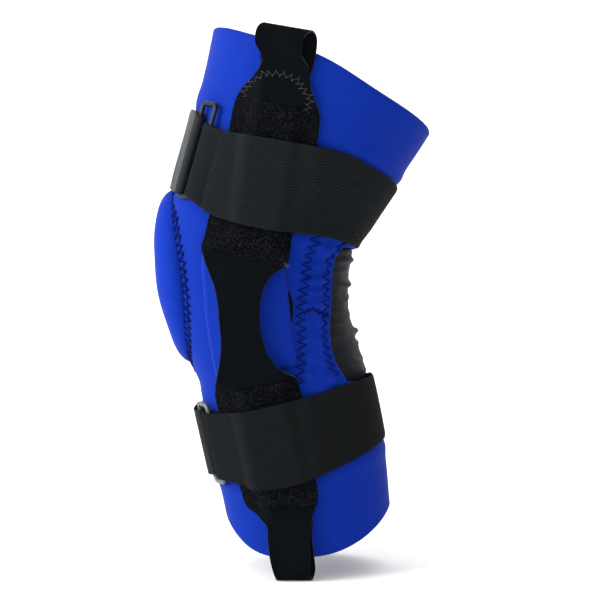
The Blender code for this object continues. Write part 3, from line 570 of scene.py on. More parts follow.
def cap_point(r, turn, extra):
    """Point on the panel's outer face, or extra off it: a dome that is fuller above the middle."""
    s, angle = cap_place(r, turn)
    bulge = CAP_BULGE * (1 - 0.24 * ramp(CAP_MIDDLE - s, 0, 35))
    dome = (1 - np.clip(r / CAP_DOME, 0, 1) ** 6) ** 0.62
    return limb_point(s, angle, CAP_LEDGE + bulge * dome + extra)


def make_cap():
    """Domed kneecap panel with a flat margin where it is sewn to the sleeve."""
    dome = np.sin(np.linspace(0, 1, 34) * pi / 2) * CAP_DOME
    r = np.concatenate([dome, [0.97, 0.985, 1.0, CAP_MARGIN]])[:, None]
    turn = circle(120)[None, :]
    soft = 0.5 * MM * wobble(cap_point(r, turn, 0), 45, 2) * (1 - r ** 4)
    outer, inner = cap_point(r, turn, soft), cap_point(np.minimum(r, 0.985), turn, soft * 0.5 - WALL)
    return bend(thick_grid("kneecap_cushion", outer, inner, [CAP_BLUE, LINING], 0.2 * MM, True, inside=1))


cap = make_cap()
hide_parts("kneecap_panel")


def zigzag(place, length, pitch, width, lift):
    """Thread that jumps from side to side of a seam. place(along, aside, lift) is a point over it."""
    teeth = int(length / pitch) * 2
    count = np.arange(teeth + 1)
    knots = count + np.concatenate([[0], rng.normal(0, 0.14, teeth - 1), [0]])
    ends = np.where(count % 2 == 0, -0.5, 0.5) * (1 + rng.normal(0, 0.10, teeth + 1))
    phase = np.linspace(0, teeth, teeth * 4 + 1)
    arch = 0.2 + np.abs(np.sin(phase * pi)) ** 0.7
    return place(np.interp(phase, count, knots) / teeth, np.interp(phase, count, ends) * width,
                 lift * arch)


def cap_seam(shift, width, lift):
    """One zigzag round the kneecap panel's edge, stepping off its dome onto the sleeve."""
    def place(t, aside, lift):
        r = CAP_MARGIN + aside / (44 * MM)
        ledge = CAP_LEDGE * smooth((1.02 - r) / 0.02) + 0.2 * MM
        dome = 1.5 * MM * smooth((0.965 - r) / 0.03)
        return limb_point(*cap_place(r, 2 * pi * t + shift), ledge + lift + dome)
    return zigzag(place, 300 * MM, 4.4 * MM, width, lift)


bend(threads("kneecap_seam", [cap_seam(0, 6.4 * MM, 0.3 * MM), cap_seam(0.008, 6.0 * MM, 0.35 * MM)],
             0.24 * MM, THREAD))


def seam_row(line, sense, pitch, width):
    """Zigzag down a side seam of the sleeve."""
    order = np.argsort(-line[0])
    s_all, a_all = line[0][order], line[1][order]
    keep = (s_all < ROW_TOP) & (s_all > ROW_LOW)
    s_all, a_all = s_all[keep], a_all[keep]

    def place(t, aside, lift):
        at = t * (len(s_all) - 1)
        s = np.interp(at, np.arange(len(s_all)), s_all)
        angle = np.interp(at, np.arange(len(s_all)), a_all) + aside / KNEE_RADIUS
        return on_sleeve(s, angle * sense, lift + 0.15 * MM)
    return zigzag(place, s_all[0] - s_all[-1], pitch, width, 0.35 * MM)


def join_row(sense):
    """Short level zigzag where two panels meet between the side seams."""
    def place(t, aside, lift):
        s, angle = locate(np.stack([mix(41, 57, t), 1.5 + 2.2 * np.sin(t * 5) + aside / MM], axis=1))
        return on_sleeve(s, angle * sense, lift + 0.1 * MM)
    return zigzag(place, 16 * MM, 3.2 * MM, 3.4 * MM, 0.6 * MM)


rows = []
for sense in (1, -1):
    rows += [seam_row(FRONT_LINE, sense, ROW_PITCH, 6.2 * MM),
             seam_row(BACK_LINE, sense, 5.4 * MM, 5.0 * MM)]
bend(threads("side_seam_stitches", rows, 0.31 * MM, THREAD))
bend(threads("panel_join_stitches", [join_row(1), join_row(-1)], 0.35 * MM, THREAD))


def make_popliteal():
    """Thin stretch panel behind the knee, ruched into level folds by its gathered side seams."""
    s = np.linspace(THIGH_EDGE + 7 * MM, CALF_EDGE - 7 * MM, 150)[:, None]
    v = np.linspace(0, 1, 80)[None, :]
    edge = angle_at(s, POP_LINE) - 0.07
    angle = mix(edge, 2 * pi - edge, v)
    s = s + 0 * v
    middle = np.sin(v * pi) ** 0.3
    folds = np.zeros(s.shape)
    for z, high, wide, tilt in ((43, 1.2, 1.7, 3), (36.5, 2.6, 1.6, -2), (30, 1.1, 1.4, 3),
                                (21.5, 2.6, 1.6, 2), (10, 1.1, 1.3, 5), (0, 0.9, 1.5, -4),
                                (-7, 1.1, 1.4, -3), (-13.5, 2.8, 1.6, 3), (-21, 1.0, 1.4, -4),
                                (-29, 1.2, 1.6, -5), (-37, 1.4, 1.8, 2)):
        centre = z * MM + tilt * MM * (v - 0.35) + 1.8 * MM * np.sin(v * 7 + z)
        strength = 0.55 + 0.45 * np.sin(v * 9 + z * 1.7)
        away = (s - centre) / (wide * MM)
        folds += high * MM * strength * (1.4 / (1 + np.abs(away) ** 2.4) - 0.35)
    point = skin(s, angle)
    fine = 0.5 * MM * wobble(point * np.array([0.35, 0.35, 1.0]), 260, 4)
    slack = 4.2 * MM * np.clip(np.sin(v * pi), 0, 1) ** 0.6 * between(s, -49 * MM, 52 * MM, 12 * MM)
    offset = -3.4 * MM + slack + (folds + fine) * middle
    return bend(grid_sheet("popliteal_stretch_panel", limb_point(s, angle, offset), 1.2 * MM, [STRETCH]))


pop = make_popliteal()
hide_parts("popliteal_panel")


def make_buttress():
    """Foam ring behind the kneecap panel."""
    r = np.linspace(0.44, 0.74, 8)[:, None]
    turn = circle(72)[None, :]
    crown = 1.0 * MM * np.sin((r - 0.44) / 0.30 * pi)
    outer = cap_point(r, turn, -WALL - 1.4 * MM)
    inner = limb_point(*cap_place(r, turn), -WALL + 0.2 * MM - crown)
    return thick_grid("patella_ring_pad", outer, inner, [FOAM], 0.8 * MM, True)


ring_pad = bend(make_buttress())
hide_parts("patella_buttress")


# ---------- side hinge covers
# Outline of the hinge cover: distance up the hinge from its pivot, front edge, back edge (mm)
COVER = [(-142, -16.4, 13), (-136, -18.3, 17.2), (-131.6, -20.8, 19.8), (-126, -26.2, 21.3),
         (-120, -28, 22), (-85, -29, 23.5), (-55, -31, 25.5), (-48.8, -30.8, 24.6),
         (-43.5, -28.8, 19.3), (-37.3, -26, 13.6), (-35, -25, 12.5), (-25.3, -20.8, 9.6),
         (-13.8, -17.3, 9.5), (-7, -16.2, 10.2), (-2, -15.5, 11.1), (0, -15.4, 11.4), (2, -15.6, 11.2),
         (7, -17.2, 10.6), (14.5, -20.2, 10.3), (27, -28, 13.8), (34.6, -32, 21.0), (37, -33.2, 23.6),
         (40, -34.1, 24), (54, -33.4, 23.3), (86, -31, 27), (115, -29, 29.3), (130, -29, 29),
         (139, -28, 27), (147.5, -24.2, 21.6), (155, -18, 18.6), (160, -15.8, 17.4), (170, -15.4, 16)]


class Arm:
    """One arm of the side hinge, seen from the side: t along it, w across it toward the back."""

    def __init__(self, lean, sense, stay_in, loop_start, loop_turn):
        self.along = np.array([sin(lean), sense * cos(lean)])
        self.across = np.array([cos(lean), -sense * sin(lean)])
        self.stay_in_plane = stay_in
        self.loop_start = loop_start
        self.loop_turn = loop_turn

    def place(self, t, w):
        return t * self.along[0] + w * self.across[0], t * self.along[1] + w * self.across[1]

    def hang(self, t, w):
        """Place on a pull loop, which past HANG_START is turned off the arm's line."""
        turn = self.loop_turn * ramp(t - HANG_START, 0, 14)
        sx, sz = self.place(HANG_START, 0)
        x, z = self.place(t - HANG_START, w)
        return sx + x * np.cos(turn) + z * np.sin(turn), sz + z * np.cos(turn) - x * np.sin(turn)

    def stay_in(self, t):
        """Depth of the stay's inner face, which bends onto the sleeve away from the pivot."""
        close = side_depth(*self.place(t, 0 * t)) + 1.0 * MM
        return mix(self.stay_in_plane, close, ramp(t, 44, 18))

    def cover_in(self, t, w, x, z):
        """Depth of the cover's inner face: over the stay in the middle, on the sleeve at the edges."""
        over_stay = self.stay_in(t) + STAY_THICK + 1.2 * MM
        crown = mix(COVER_PLANE, over_stay, ramp(t, 16, 46))
        room = 2.2 * MM * ramp(t - self.loop_start, -8, 8)
        sewn_down = side_depth(x, z) + 0.5 * MM + room
        drop = ramp(np.hypot(x, z), 46, 12) * ramp(np.abs(w) - CROWN, 0, 10)
        return mix(crown, sewn_down, drop)


UPPER = Arm(UPPER_LEAN, 1, UPPER_STAY_IN, 146 * MM, 0)
LOWER = Arm(LOWER_LEAN, -1, LOWER_STAY_IN, 126 * MM, LOWER_LEAN)


def cover_spot(u, w):
    """Side view place of a cover point: u up the hinge, negative below the pivot."""
    t = np.abs(u)
    x = np.where(u > 0, UPPER.along[0], LOWER.along[0]) * t
    z = np.where(u > 0, UPPER.along[1], LOWER.along[1]) * t
    lean = mix(LOWER_LEAN, -UPPER_LEAN, ramp(u, -26, 52))
    return x + np.cos(lean) * w, z + np.sin(lean) * w


def cover_depth(u, w):
    """Depth of the cover's inner face."""
    x, z = cover_spot(u, w)
    return np.where(u > 0, UPPER.cover_in(np.abs(u), w, x, z), LOWER.cover_in(np.abs(u), w, x, z))


def cover_edges(u):
    return eased(u / MM, COVER, 1) * MM, eased(u / MM, COVER, 2) * MM


def cover_on(side, u, w, height):
    """Point over a cover's outer face."""
    x, z = cover_spot(u, w)
    return vec(x, side * (cover_depth(u, w) + COVER_THICK + height), z)


# Pull loops, from the cover over the end and back under it: distance along the arm, height over
# the sleeve, front edge, back edge (mm)
TOP_LOOP = [(160, 4.9, -15.6, 17.2), (165, 6.3, -14.4, 15.6), (168, 8.0, -15.6, 12.6),
            (171, 9.6, -18.4, 10.2), (174.5, 11.0, -20.8, 9.3), (179, 11.8, -21.3, 9.2),
            (183, 11.2, -21, 10.2), (186.3, 9.2, -19.4, 12.4), (187.8, 6.6, -16.8, 14.4),
            (187, 4.0, -16.4, 16.4), (184, 2.4, -17, 18.0), (179, 1.7, -18, 18.8), (171, 1.5, -17, 19),
            (163, 1.4, -15, 18.2), (156, 1.4, -14, 17), (148, 1.3, -13.5, 15)]
BOTTOM_LOOP = [(140, 4.7, -16.4, 14.2), (146, 5.6, -15.8, 12.6), (152, 7.6, -14.9, 12.2),
               (160, 9.8, -14, 12.6), (167, 10.8, -12.8, 12.8), (173, 10.4, -11.2, 13),
               (177, 8.4, -9.8, 13.4), (178.2, 5.8, -9.6, 14.4), (176.4, 3.0, -10.4, 15.6),
               (171, 1.8, -12, 16.4), (162, 1.6, -13.4, 15.4), (150, 1.5, -14, 14), (138, 1.4, -14, 14),
               (128, 1.3, -13, 12.5)]
HANG_START = 138 * MM
# Top and low end of each pile patch up the hinge, and how far each end slants (mm)
PATCHES = {"thigh": (138, 37.4, -5.5, -5), "calf": (-48.8, -129, -2, -9)}
FIBRES = 3400
ARCH_STITCHES = 34
ARCH_FOOT = 139.5 * MM
ARCH_HIGH = 19.5 * MM
ARCH_MIDDLE = -1.8 * MM
ARCH_HALF_WIDTH = 23.5 * MM
FRAYED_ENDS = 6


def loop_grid(side, arm, loop, v):
    """Pull loop: follows the sleeve where it is sewn down, and stands level where it is free."""
    t, height, front, back = np.split(curve_through(np.array(loop) * MM, 100), 4, axis=1)
    w = mix(front, back, v)
    x, z = arm.hang(t, w)
    level = side_depth(*arm.hang(t, 0 * t)) + 0.6 * MM
    base = mix(side_depth(x, z), level, ramp(height, 1.5, 4))
    slack = 0.5 * MM * np.sin(w / (5.5 * MM) + t / (9 * MM)) * ramp(height, 7, 3)
    return vec(x, side * (base + height + slack), z)


def make_cover(label, side):
    """Cover of one side with its pull loops: one strip, rolled back on itself at both ends."""
    v = np.linspace(0, 1, 37)[None, :]
    u = np.linspace(160, -140, 240)[:, None] * MM
    front, back = cover_edges(u)
    w = mix(front, back, v)
    body = cover_on(side, u, w, -COVER_THICK / 2 + 0.1 * MM * np.sin(w / (3 * MM)))
    upper = loop_grid(side, UPPER, TOP_LOOP, v)[::-1]
    lower = loop_grid(side, LOWER, BOTTOM_LOOP, v)
    fade = smooth(np.linspace(0, 1, 9))[:, None, None]
    body[:9] = mix(mix(upper[-1], body[8], fade), body[:9], fade)
    body[-9:] = mix(body[-9:], mix(body[-9], lower[0], fade), fade)
    grid = np.concatenate([upper[:-1], body, lower[1:]])
    if side > 0:
        grid = grid[:, ::-1]
    obj = grid_sheet(label + "_hinge_cover", grid, COVER_THICK, [LAMINATE, RAW_EDGE_AND_HIGHLIGHT], 0.12 * MM, 1)
    return bend(obj)


def patch_place(limits, part, v, inset):
    """Cover place at part of the way down a patch and v of the way across it."""
    u_top, u_low, slant_top, slant_low = limits
    u = mix(u_top, u_low, part) + mix(slant_top, slant_low, part) * (v - 0.5)
    front, back = cover_edges(u)
    return u, mix(front + inset, back - inset, v)


def make_patch(name, side, limits):
    """Loop pile: a lumpy ground with thousands of short curled fibres standing in it."""
    part = np.linspace(0, 1, int((limits[0] - limits[1]) / (1.1 * MM)))[:, None]
    u, w = patch_place(limits, part, np.linspace(0, 1, 61)[None, :], 0.2 * MM)
    rough = wobble(vec(u, w, 0 * u), 620, 6) * 0.35 * MM + wobble(vec(u, w, 0 * u), 230, 8) * 0.3 * MM
    outer = cover_on(side, u, w, 1.15 * MM + rough)
    inner = cover_on(side, u, w, 0.12 * MM)
    if side > 0:
        outer, inner = outer[:, ::-1], inner[:, ::-1]
    ground = thick_grid(name + "_ground", outer, inner, [PILE], 0.25 * MM)
    part, v = rng.random(FIBRES), rng.random(FIBRES)
    u, w = patch_place(limits, part, v, 0.6 * MM)
    lean, size = rng.random(FIBRES) * 2 * pi, (0.7 + 1.1 * rng.random(FIBRES)) * MM
    curl = []
    for reach, high in ((0, 0.7), (0.35, 1.35), (0.8, 1.7), (1.1, 1.3)):
        height = high * MM * (0.85 + 0.3 * rng.random(FIBRES))
        out = size * reach
        curl.append(cover_on(side, u + np.cos(lean) * out, w + np.sin(lean) * out, height))
    return ground, threads(name + "_fibres", np.stack(curl, axis=1), 0.11 * MM, FIBRE_GLINT_GREY, 3)


def arch_stitches(side):
    """Short slanted stitches round the arch where the cover is sewn at its neck, and frayed ends."""
    lines = []
    part = np.linspace(0, 1, 5)
    for k in range(ARCH_STITCHES):
        turn = mix(-0.14, pi + 0.14, k / (ARCH_STITCHES - 1)) + rng.normal(0, 0.012)
        slant = 0.075 if k % 2 else -0.075
        out = 1 + rng.normal(0, 0.03)
        (t0, w0), (t1, w1) = [
            (ARCH_FOOT + ARCH_HIGH * reach * np.sin(turn + skew),
             ARCH_MIDDLE - ARCH_HALF_WIDTH * reach * np.cos(turn + skew))
            for reach, skew in ((out * 0.84, -slant), (out * 1.04, slant))]
        lines.append(cover_on(side, mix(t0, t1, part), mix(w0, w1, part),
                              0.1 * MM + 0.25 * MM * np.sin(part * pi)
                              + 0.9 * MM * ramp(t0, 150, 8)))
    for _ in range(FRAYED_ENDS):
        turn, reach = rng.random() * 2 - 1.0, (2.2 + 2 * rng.random()) * MM
        u, w = (35.5 + 3 * rng.random()) * MM, (20.5 + 2 * rng.random()) * MM
        lines.append(cover_on(side, u - reach * part * sin(turn), w + reach * part * cos(turn),
                              (1.3 + 1.2 * rng.random() * np.sin(part * 2)) * MM))
    return lines


# Outline of the pad under the hinge, seen from the side (mm)
PAD = [(26.8, 32), (28.6, 24), (30.6, 10), (32.0, -5), (32.8, -17), (34.8, -27), (33.8, -33.6),
       (24, -36), (12, -41), (0, -44), (-12, -44), (-18.4, -40), (-22.6, -20), (-25.2, 1), (-26.6, 20),
       (-27.6, 36), (-24, 43), (-12, 45), (4, 45), (18, 41)]
PAD_CENTRE = np.array([4.0, 0.0]) * MM
PAD_RIM = 4.6 * MM


def closed_curve(points, count):
    """Evenly spaced points on a smooth closed line through the given ones."""
    points = np.asarray(points, float)
    around = np.vstack([points[-3:], points, points[:4]])
    line = curve_through(around, count * 2)
    start = np.argmin(np.linalg.norm(line[:count] - points[0], axis=1))
    half = start + count // 2
    end = half + np.argmin(np.linalg.norm(line[half:] - points[0], axis=1))
    line = line[start:end + 1]
    return read_at(np.linspace(0, len(line) - 1, count + 1)[:-1], np.arange(len(line)), line)


def make_pad(label, side):
    """Soft pad under the hinge, whose edges show on both sides of the cover's waist."""
    outline = closed_curve(PAD, 140) * MM - PAD_CENTRE
    r = np.sin(np.linspace(0, 1, 44) * pi / 2)
    spot = PAD_CENTRE + outline[None] * r[:, None, None]
    x, z = spot[..., 0], spot[..., 1]
    under = side_depth(x, z) + GAP
    rim = np.sqrt(1 - 0.93 * np.clip((r[:, None] - 0.89) / 0.11, 0, 1) ** 2.4)
    face = under + rim * mix(PAD_FACE - under, PAD_RIM, smooth((r[:, None] - 0.4) / 0.5))
    outer, inner = vec(x, side * face, z), vec(x, side * under, z)
    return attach(thick_grid(label + "_hinge_cushion", outer, inner, [BLUE], 0.3 * MM, True), "thigh")


def make_pad_shadow_sheet(label, side):
    """Dark laminate sheet under the pad, whose cut edge shows behind it as a painted shadow along the
    pad's back edge.
    """
    turn = circle(60)
    r = np.linspace(0.05, 1, 8)[:, None]
    x = 24 * MM + 9.4 * MM * r * np.cos(turn)
    z = 3 * MM + 17 * MM * r * np.sin(turn)
    depth = side_depth(x, z)
    outer, inner = vec(x, side * (depth + 2.4 * MM), z), vec(x, side * (depth + 0.4 * MM), z)
    obj = thick_grid(label + "_pad_painted_shadow", outer, inner, [LAMINATE, RAW_EDGE_AND_HIGHLIGHT], 0.15 * MM, True, 1)
    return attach(obj, "thigh")


for label, side in (("lateral", -1), ("medial", 1)):
    cover = make_cover(label, side)
    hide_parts(label + "_cover_upper", label + "_cover_waist", label + "_cover_lower",
                label + "_pull_loop_top", label + "_pull_loop_bottom")
    for place, limits in PATCHES.items():
        ground, fibres = make_patch(label + "_" + place + "_pile", side, [limit * MM for limit in limits])
        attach(ground, place)
        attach(fibres, place)
        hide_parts(label + "_loop_patch_" + place)
    arch = threads(label + "_arch_stitches", arch_stitches(side), 0.15 * MM, THREAD_PALE, 4)
    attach(arch, "thigh")
    # dark sheet behind each pad: painted shadow along the pad's back edge
    make_pad_shadow_sheet(label, side)
    pad = make_pad(label, side)
    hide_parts(label + "_hinge_pad")
    for node, mat in (("upper_stay", ALLOY), ("lower_stay", ALLOY), ("pivot_rivet", STEEL),
                      ("hinge_washer", NYLON), ("stop_pin", STEEL)):
        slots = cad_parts[label + "_" + node].data.materials
        slots.clear()
        slots.append(mat)


# ---------- straps, rings and closures
STRAP_THICK = 1.8 * MM
CLOSURE_THICK = 1.2 * MM
CLOSURE_GAP = 0.6 * MM
LAYER_GAP = 0.15 * MM
HOOK_THICK = 0.8 * MM
BAR_RADIUS = 1.7 * MM
RING_PITCH = 14 * MM
STRAP_GAP = 1.0 * MM
BAR_ROOM = 0.5 * MM
FOLD_ROOM = 0.5 * MM
FOLD_SLACK = 0.25 * MM
EDGE_INSET = 1.5 * MM
STRAP_END = radians(316)
FLAP_END = radians(-41)
HOOK_FRONT = radians(-8)
TAB_DROP = 2.5 * MM
FOLD_STEP = 0.9 * MM
# Angle of a ring's rear bar (degrees), ends of the straight stretch beside it, ends of its bars,
# and how far the strap's end is tucked back under it (mm)
THIGH_RING = (46, (124.5, 66.5), (122, 71), 6)
CALF_RING = (38, (-56, -112), (-60, -110), 5)


def strap_lift(s, angle):
    """How far the hinge cover and its pile raise a strap that crosses them."""
    spot = skin(s, angle)
    x, z = spot[..., 0], spot[..., 2]
    total = np.zeros(np.shape(s))
    for arm, sense in ((UPPER, 1), (LOWER, -1)):
        t = x * arm.along[0] + z * arm.along[1]
        w = x * arm.across[0] + z * arm.across[1]
        front, back = cover_edges(sense * np.abs(t))
        edge = np.clip(w, front, back)
        under_x, under_z = arm.place(t, edge)
        stack = arm.cover_in(t, edge, under_x, under_z) + COVER_THICK + PATCH_THICK + 1.4 * MM
        lift = (stack - side_depth(under_x, under_z)) * (1 - ramp(np.abs(w - edge), 0, 16))
        total = np.where(z * sense > 0, lift, total)
    return np.where(np.abs(np.sin(angle)) < 0.3, 0.0, total)


class Strap:
    """A strap round the sleeve, with its ring at the front of the lateral side."""

    def __init__(self, top_rows, bottom_rows, ring):
        self.top_rows, self.bottom_rows = top_rows, bottom_rows
        self.rear_bar = radians(ring[0])
        self.ring_ends = [height * MM for height in ring[1]]
        self.bar_ends = np.array(ring[2]) * MM
        self.tuck = ring[3] * MM
        self.middle = sum(self.ring_ends) / 2
        self.front_bar = self.rear_bar - RING_PITCH / self.stretch(self.rear_bar)
        self.rear_height = STRAP_GAP + STRAP_THICK + BAR_ROOM + BAR_RADIUS
        self.front_height = CLOSURE_GAP + CLOSURE_THICK + FOLD_ROOM + BAR_RADIUS

    def stretch(self, angle):
        """Arc length per radian round the sleeve."""
        s = np.full(np.shape(angle), self.middle)
        ahead = skin(s, np.asarray(angle) + 0.01) - skin(s, np.asarray(angle) - 0.01)
        return np.linalg.norm(ahead, axis=-1) / 0.02

    def height(self, angle, u, inset, drop):
        """Height at u of the way down from the upper edge, inset from both edges."""
        top = edge_height(self.top_rows, angle) - inset
        return mix(top, edge_height(self.bottom_rows, angle) + inset - drop, u)

    def beside_ring(self, s, angle, offset):
        """Point at height s on the straight line beside the ring's bars."""
        ends = [limb_point(end + 0 * s, angle, offset) for end in self.ring_ends]
        return mix(*ends, ((s - self.ring_ends[0]) / (self.ring_ends[1] - self.ring_ends[0]))[..., None])

    def grid(self, path, across, lift_from=None, inset=0.0, drop=0.0):
        """Points on the middle surface of a band that follows (angle, height) points."""
        angle, offset = path[:, :1], path[:, 1:]
        u = np.linspace(0, 1, across)[None, :]
        ring = (self.front_bar + self.rear_bar) / 2
        from_ring = np.abs(angle - ring) * self.stretch(angle)
        straight = 1 - ramp(from_ring, 11.5, 5)
        s = self.height(angle, u, inset, drop)
        rise = 0 * s
        if lift_from is not None:
            over = np.maximum(0, STRAP_GAP + STRAP_THICK / 2 + strap_lift(s, angle) - offset)
            rise = np.where(np.arange(len(path))[:, None] >= lift_from, over, 0)
        free = limb_point(s, angle, offset + rise)
        return mix(free, self.beside_ring(s, angle, offset), straight[..., None])

    def arc(self, angle, height, radius, start, stop):
        """(angle, height) points of a fold round a bar."""
        stretch = self.stretch(angle)
        turn = np.linspace(start, stop, 14)
        return np.stack([angle + radius * np.cos(turn) / stretch, height + radius * np.sin(turn)], axis=1)


def resampled(path, scale):
    """Points of a path at even steps of its real length, with angles weighed by scale."""
    run = run_along(path * np.array([scale, 1.0]))
    return read_at(np.linspace(0, run[-1], int(run[-1] / FOLD_STEP) + 2), run, path)


def make_strap(name, strap, ribs, depth, mat, across):
    """Elastic strap, folded round the ring's rear bar and led round the back to its closure."""
    low = STRAP_GAP + STRAP_THICK / 2
    fold = BAR_RADIUS + BAR_ROOM + STRAP_THICK / 2
    bar = strap.rear_bar
    stretch = strap.stretch(bar)
    start = np.array([[bar + strap.tuck / stretch, low], [bar + strap.tuck / 2 / stretch, low]])
    arc = strap.arc(bar, strap.rear_height, fold, -pi / 2, -3 * pi / 2)
    turn = resampled(np.vstack([start, arc]), stretch)
    slope = [(2, 8.0), (5, 7.4), (8, 6.4), (11, 5.5), (15, 4.6), (19, 3.7), (24, low / MM + 0.8),
             (30, low / MM + 0.2), (36, low / MM)]
    slope = curve_through(np.array(slope) * MM, 40)
    slope[:, 0] = bar + slope[:, 0] / stretch
    first = bar + 38 * MM / stretch
    rest = np.stack([np.linspace(first, STRAP_END, 200), np.full(200, low)], axis=1)
    path = np.vstack([turn, slope, rest])
    grid = strap.grid(path, across, lift_from=len(turn))
    u = np.linspace(0, 1, across)[None, :]
    edge = between(u, 0, 1, 0.03)
    rib = depth * (0.5 - 0.5 * np.cos(u * ribs * 2 * pi)) * edge
    away = (path[:, :1] - bar) * stretch
    weft = 0.05 * MM * np.sin(away / (0.5 * MM)) * edge
    seam_line = -0.3 * MM * bell(away, 11 * MM, 0.7 * MM)
    ply = 0.35 * MM * (1 - ramp(away, 9.8, 1.2))
    raised = rib + weft + seam_line + ply - 0.2 * MM * (1 - edge)
    return grid_sheet(name, grid, STRAP_THICK * 0.8, [mat], 0.25 * MM, raised=raised)


def make_webbing(name, strap, path, mat):
    """Closure webbing along a path, with a line woven in near each edge."""
    across = np.linspace(0, 1, 61)
    weave = 0.06 * MM * np.cos(across * 2 * pi * 30)
    weave -= 0.25 * MM * (bell(across, 0.05, 0.012) + bell(across, 0.95, 0.012))
    grid = strap.grid(path, len(across), inset=EDGE_INSET, drop=TAB_DROP)
    return grid_sheet(name, grid, CLOSURE_THICK, [mat], 0.3 * MM, raised=weave)


def tube_ring(name, corners, mat):
    """Rounded rectangular ring of round bar, a little flattened."""
    line = []
    corners = [np.array(c) for c in corners]
    for k, corner in enumerate(corners):
        toward = unit(corners[k - 1] - corner)
        away = unit(corners[(k + 1) % 4] - corner)
        for t in np.linspace(0, 1, 9):
            line.append(corner + toward * (4 * MM * (1 - t) ** 2) + away * (4 * MM * t ** 2))
        here, there = line[-1], corners[(k + 1) % 4] - away * 4 * MM
        line += [mix(here, there, t) for t in np.linspace(0, 1, 8)[1:-1]]
    line = np.array(line)
    tangent = unit(np.roll(line, -1, axis=0) - np.roll(line, 1, axis=0))
    inward = line.mean(axis=0) - line
    inward = unit(inward - tangent * np.einsum("ij,ij->i", inward, tangent)[:, None])
    ring = round_bar(line, inward, np.cross(tangent, inward), 16, BAR_RADIUS, 0.9)
    faces = grid_faces(len(ring) + 1, 16, True) % (len(ring) * 16)
    return mesh_object(name, ring.reshape(-1, 3), faces, [mat])


# Strap, ribs across it and their depth, its material and points across, ring, flap
STRAPS = {"thigh": (Strap(THIGH_TOP, THIGH_BOTTOM, THIGH_RING), 30, 0.6 * MM, ELASTIC, 241,
                    RING, WEBBING),
          "calf": (Strap(CALF_TOP, CALF_BOTTOM, CALF_RING), 46, 0.22 * MM, ELASTIC_FINE, 231,
                   RING_GREY_GLINT, WEBBING_DARK)}
for place, (strap, ribs, depth, mat, across, ring_mat, flap_mat) in STRAPS.items():
    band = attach(make_strap(place + "_elastic_band", strap, ribs, depth, mat, across), place)
    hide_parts(place + "_strap")

    rear = strap.beside_ring(strap.bar_ends, strap.rear_bar, strap.rear_height)
    front = strap.beside_ring(strap.bar_ends, strap.front_bar, strap.front_height)
    corners = [rear[0], front[0], front[1], rear[1]]
    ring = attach(tube_ring(place + "_loop_ring", corners, ring_mat), place + "_ring")
    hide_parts(place + "_strap_ring")

    low = CLOSURE_GAP + CLOSURE_THICK / 2
    fold = BAR_RADIUS + FOLD_ROOM + CLOSURE_THICK / 2 + FOLD_SLACK
    stretch = strap.stretch(strap.front_bar)
    first = STRAP_END - 2 * pi + GAP / (60 * MM)
    run = np.stack([np.linspace(first, strap.front_bar, 40)[:-1], np.full(39, low)], axis=1)
    path = np.vstack([run, strap.arc(strap.front_bar, low + fold, fold, -pi / 2, pi / 2)])
    tab = make_webbing(place + "_closure_webbing", strap, resampled(path, stretch), WEBBING_DARK)
    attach(tab, place)
    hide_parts(place + "_closure_strap")

    t = np.linspace(0, 1, 70)[::-1]
    closed = CLOSURE_GAP + CLOSURE_THICK * 1.5 + HOOK_THICK + LAYER_GAP * 2
    path = np.stack([mix(strap.front_bar - 0.5 * MM / stretch, FLAP_END, t),
                     mix(low + 2 * fold, closed, smooth(t / 0.27))], axis=1)
    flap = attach(make_webbing(place + "_flap_webbing", strap, path, flap_mat), place + "_flap")
    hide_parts(place + "_closure_flap")

    offset = CLOSURE_GAP + CLOSURE_THICK + LAYER_GAP + HOOK_THICK / 2
    path = np.stack([np.linspace(FLAP_END + 0.03, HOOK_FRONT, 40), np.full(40, offset)], axis=1)
    grid = strap.grid(path, 45, inset=4 * MM)
    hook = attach(grid_sheet(place + "_hook_field", grid, HOOK_THICK, [HOOK], 0.15 * MM), place + "_flap")
    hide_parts(place + "_hook_patch")


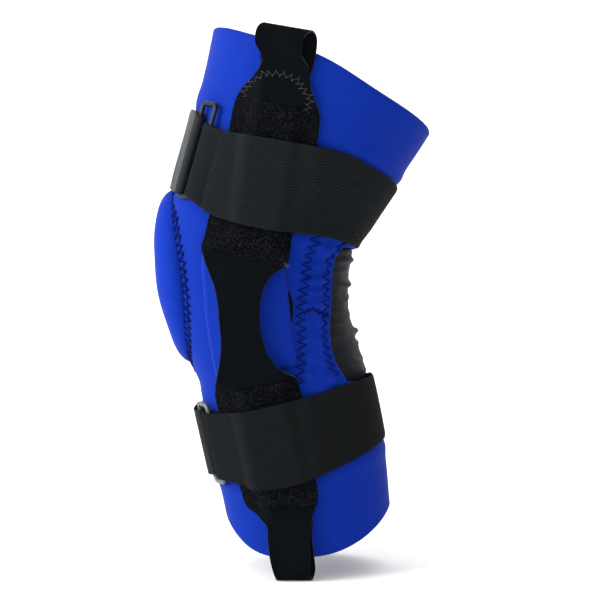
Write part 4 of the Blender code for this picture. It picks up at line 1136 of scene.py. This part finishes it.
# ---------- stage, lights, camera
PAPER = bpy.data.materials.new("paper_white")
PAPER.use_nodes = True
sockets = PAPER.node_tree.nodes["Principled BSDF"].inputs
sockets["Base Color"].default_value = (0.96, 0.96, 0.96, 1)
sockets["Roughness"].default_value = 0.9
sockets["Specular IOR Level"].default_value = 0.1

# A paper sweep: level under the object, and curved up into a wall behind it (m)
SWEEP_START = 1.2
SWEEP_RADIUS = 0.8
SWEEP_HALF_WIDTH = 4.0
low_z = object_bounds()[0][2] - 0.5 * MM
profile = [(-3.0, 0.0), (SWEEP_START, 0.0)]
profile += [(SWEEP_START + SWEEP_RADIUS * sin(a), SWEEP_RADIUS - SWEEP_RADIUS * cos(a))
            for a in np.linspace(0.1, pi / 2, 14)]
profile += [(SWEEP_START + SWEEP_RADIUS, 3.2)]
verts = [(x, y, z + low_z) for y, z in profile for x in (-SWEEP_HALF_WIDTH, SWEEP_HALF_WIDTH)]
mesh_object("studio_floor", verts, grid_faces(len(profile), 2), [PAPER])

world = bpy.data.worlds.new("studio")
world.use_nodes = True
sky = world.node_tree.nodes["Background"].inputs
sky["Color"].default_value = (1, 1, 1, 1)
sky["Strength"].default_value = 0.85
bpy.context.scene.world = world


def area_light(name, place, target, power, size):
    data = bpy.data.lights.new(name, "AREA")
    data.energy = power
    data.shape = "DISK"
    data.size = size
    obj = new_object(name, data)
    obj.location = place
    obj.rotation_euler = (Vector(target) - Vector(place)).to_track_quat("-Z", "Y").to_euler()


area_light("key_light", (-1.5, -0.6, 0.7), (0, 0, 0), 46, 1.4)
area_light("fill_light", (-0.2, -1.9, 0.7), (0, 0, 0), 4, 1.6)
area_light("back_light", (0.2, 1.2, 2.2), (0, 1.2, 0), 22, 1.8)
bpy.context.scene.view_settings.view_transform = "Standard"

camera = bpy.data.cameras.new("camera")
camera.sensor_width = 36
camera.lens = 36 / 0.42
view = new_object("camera", camera)
view.location = (0.0378, -1.0, 0.0098)
view.rotation_euler = (pi / 2, 0, 0)
bpy.context.scene.camera = view
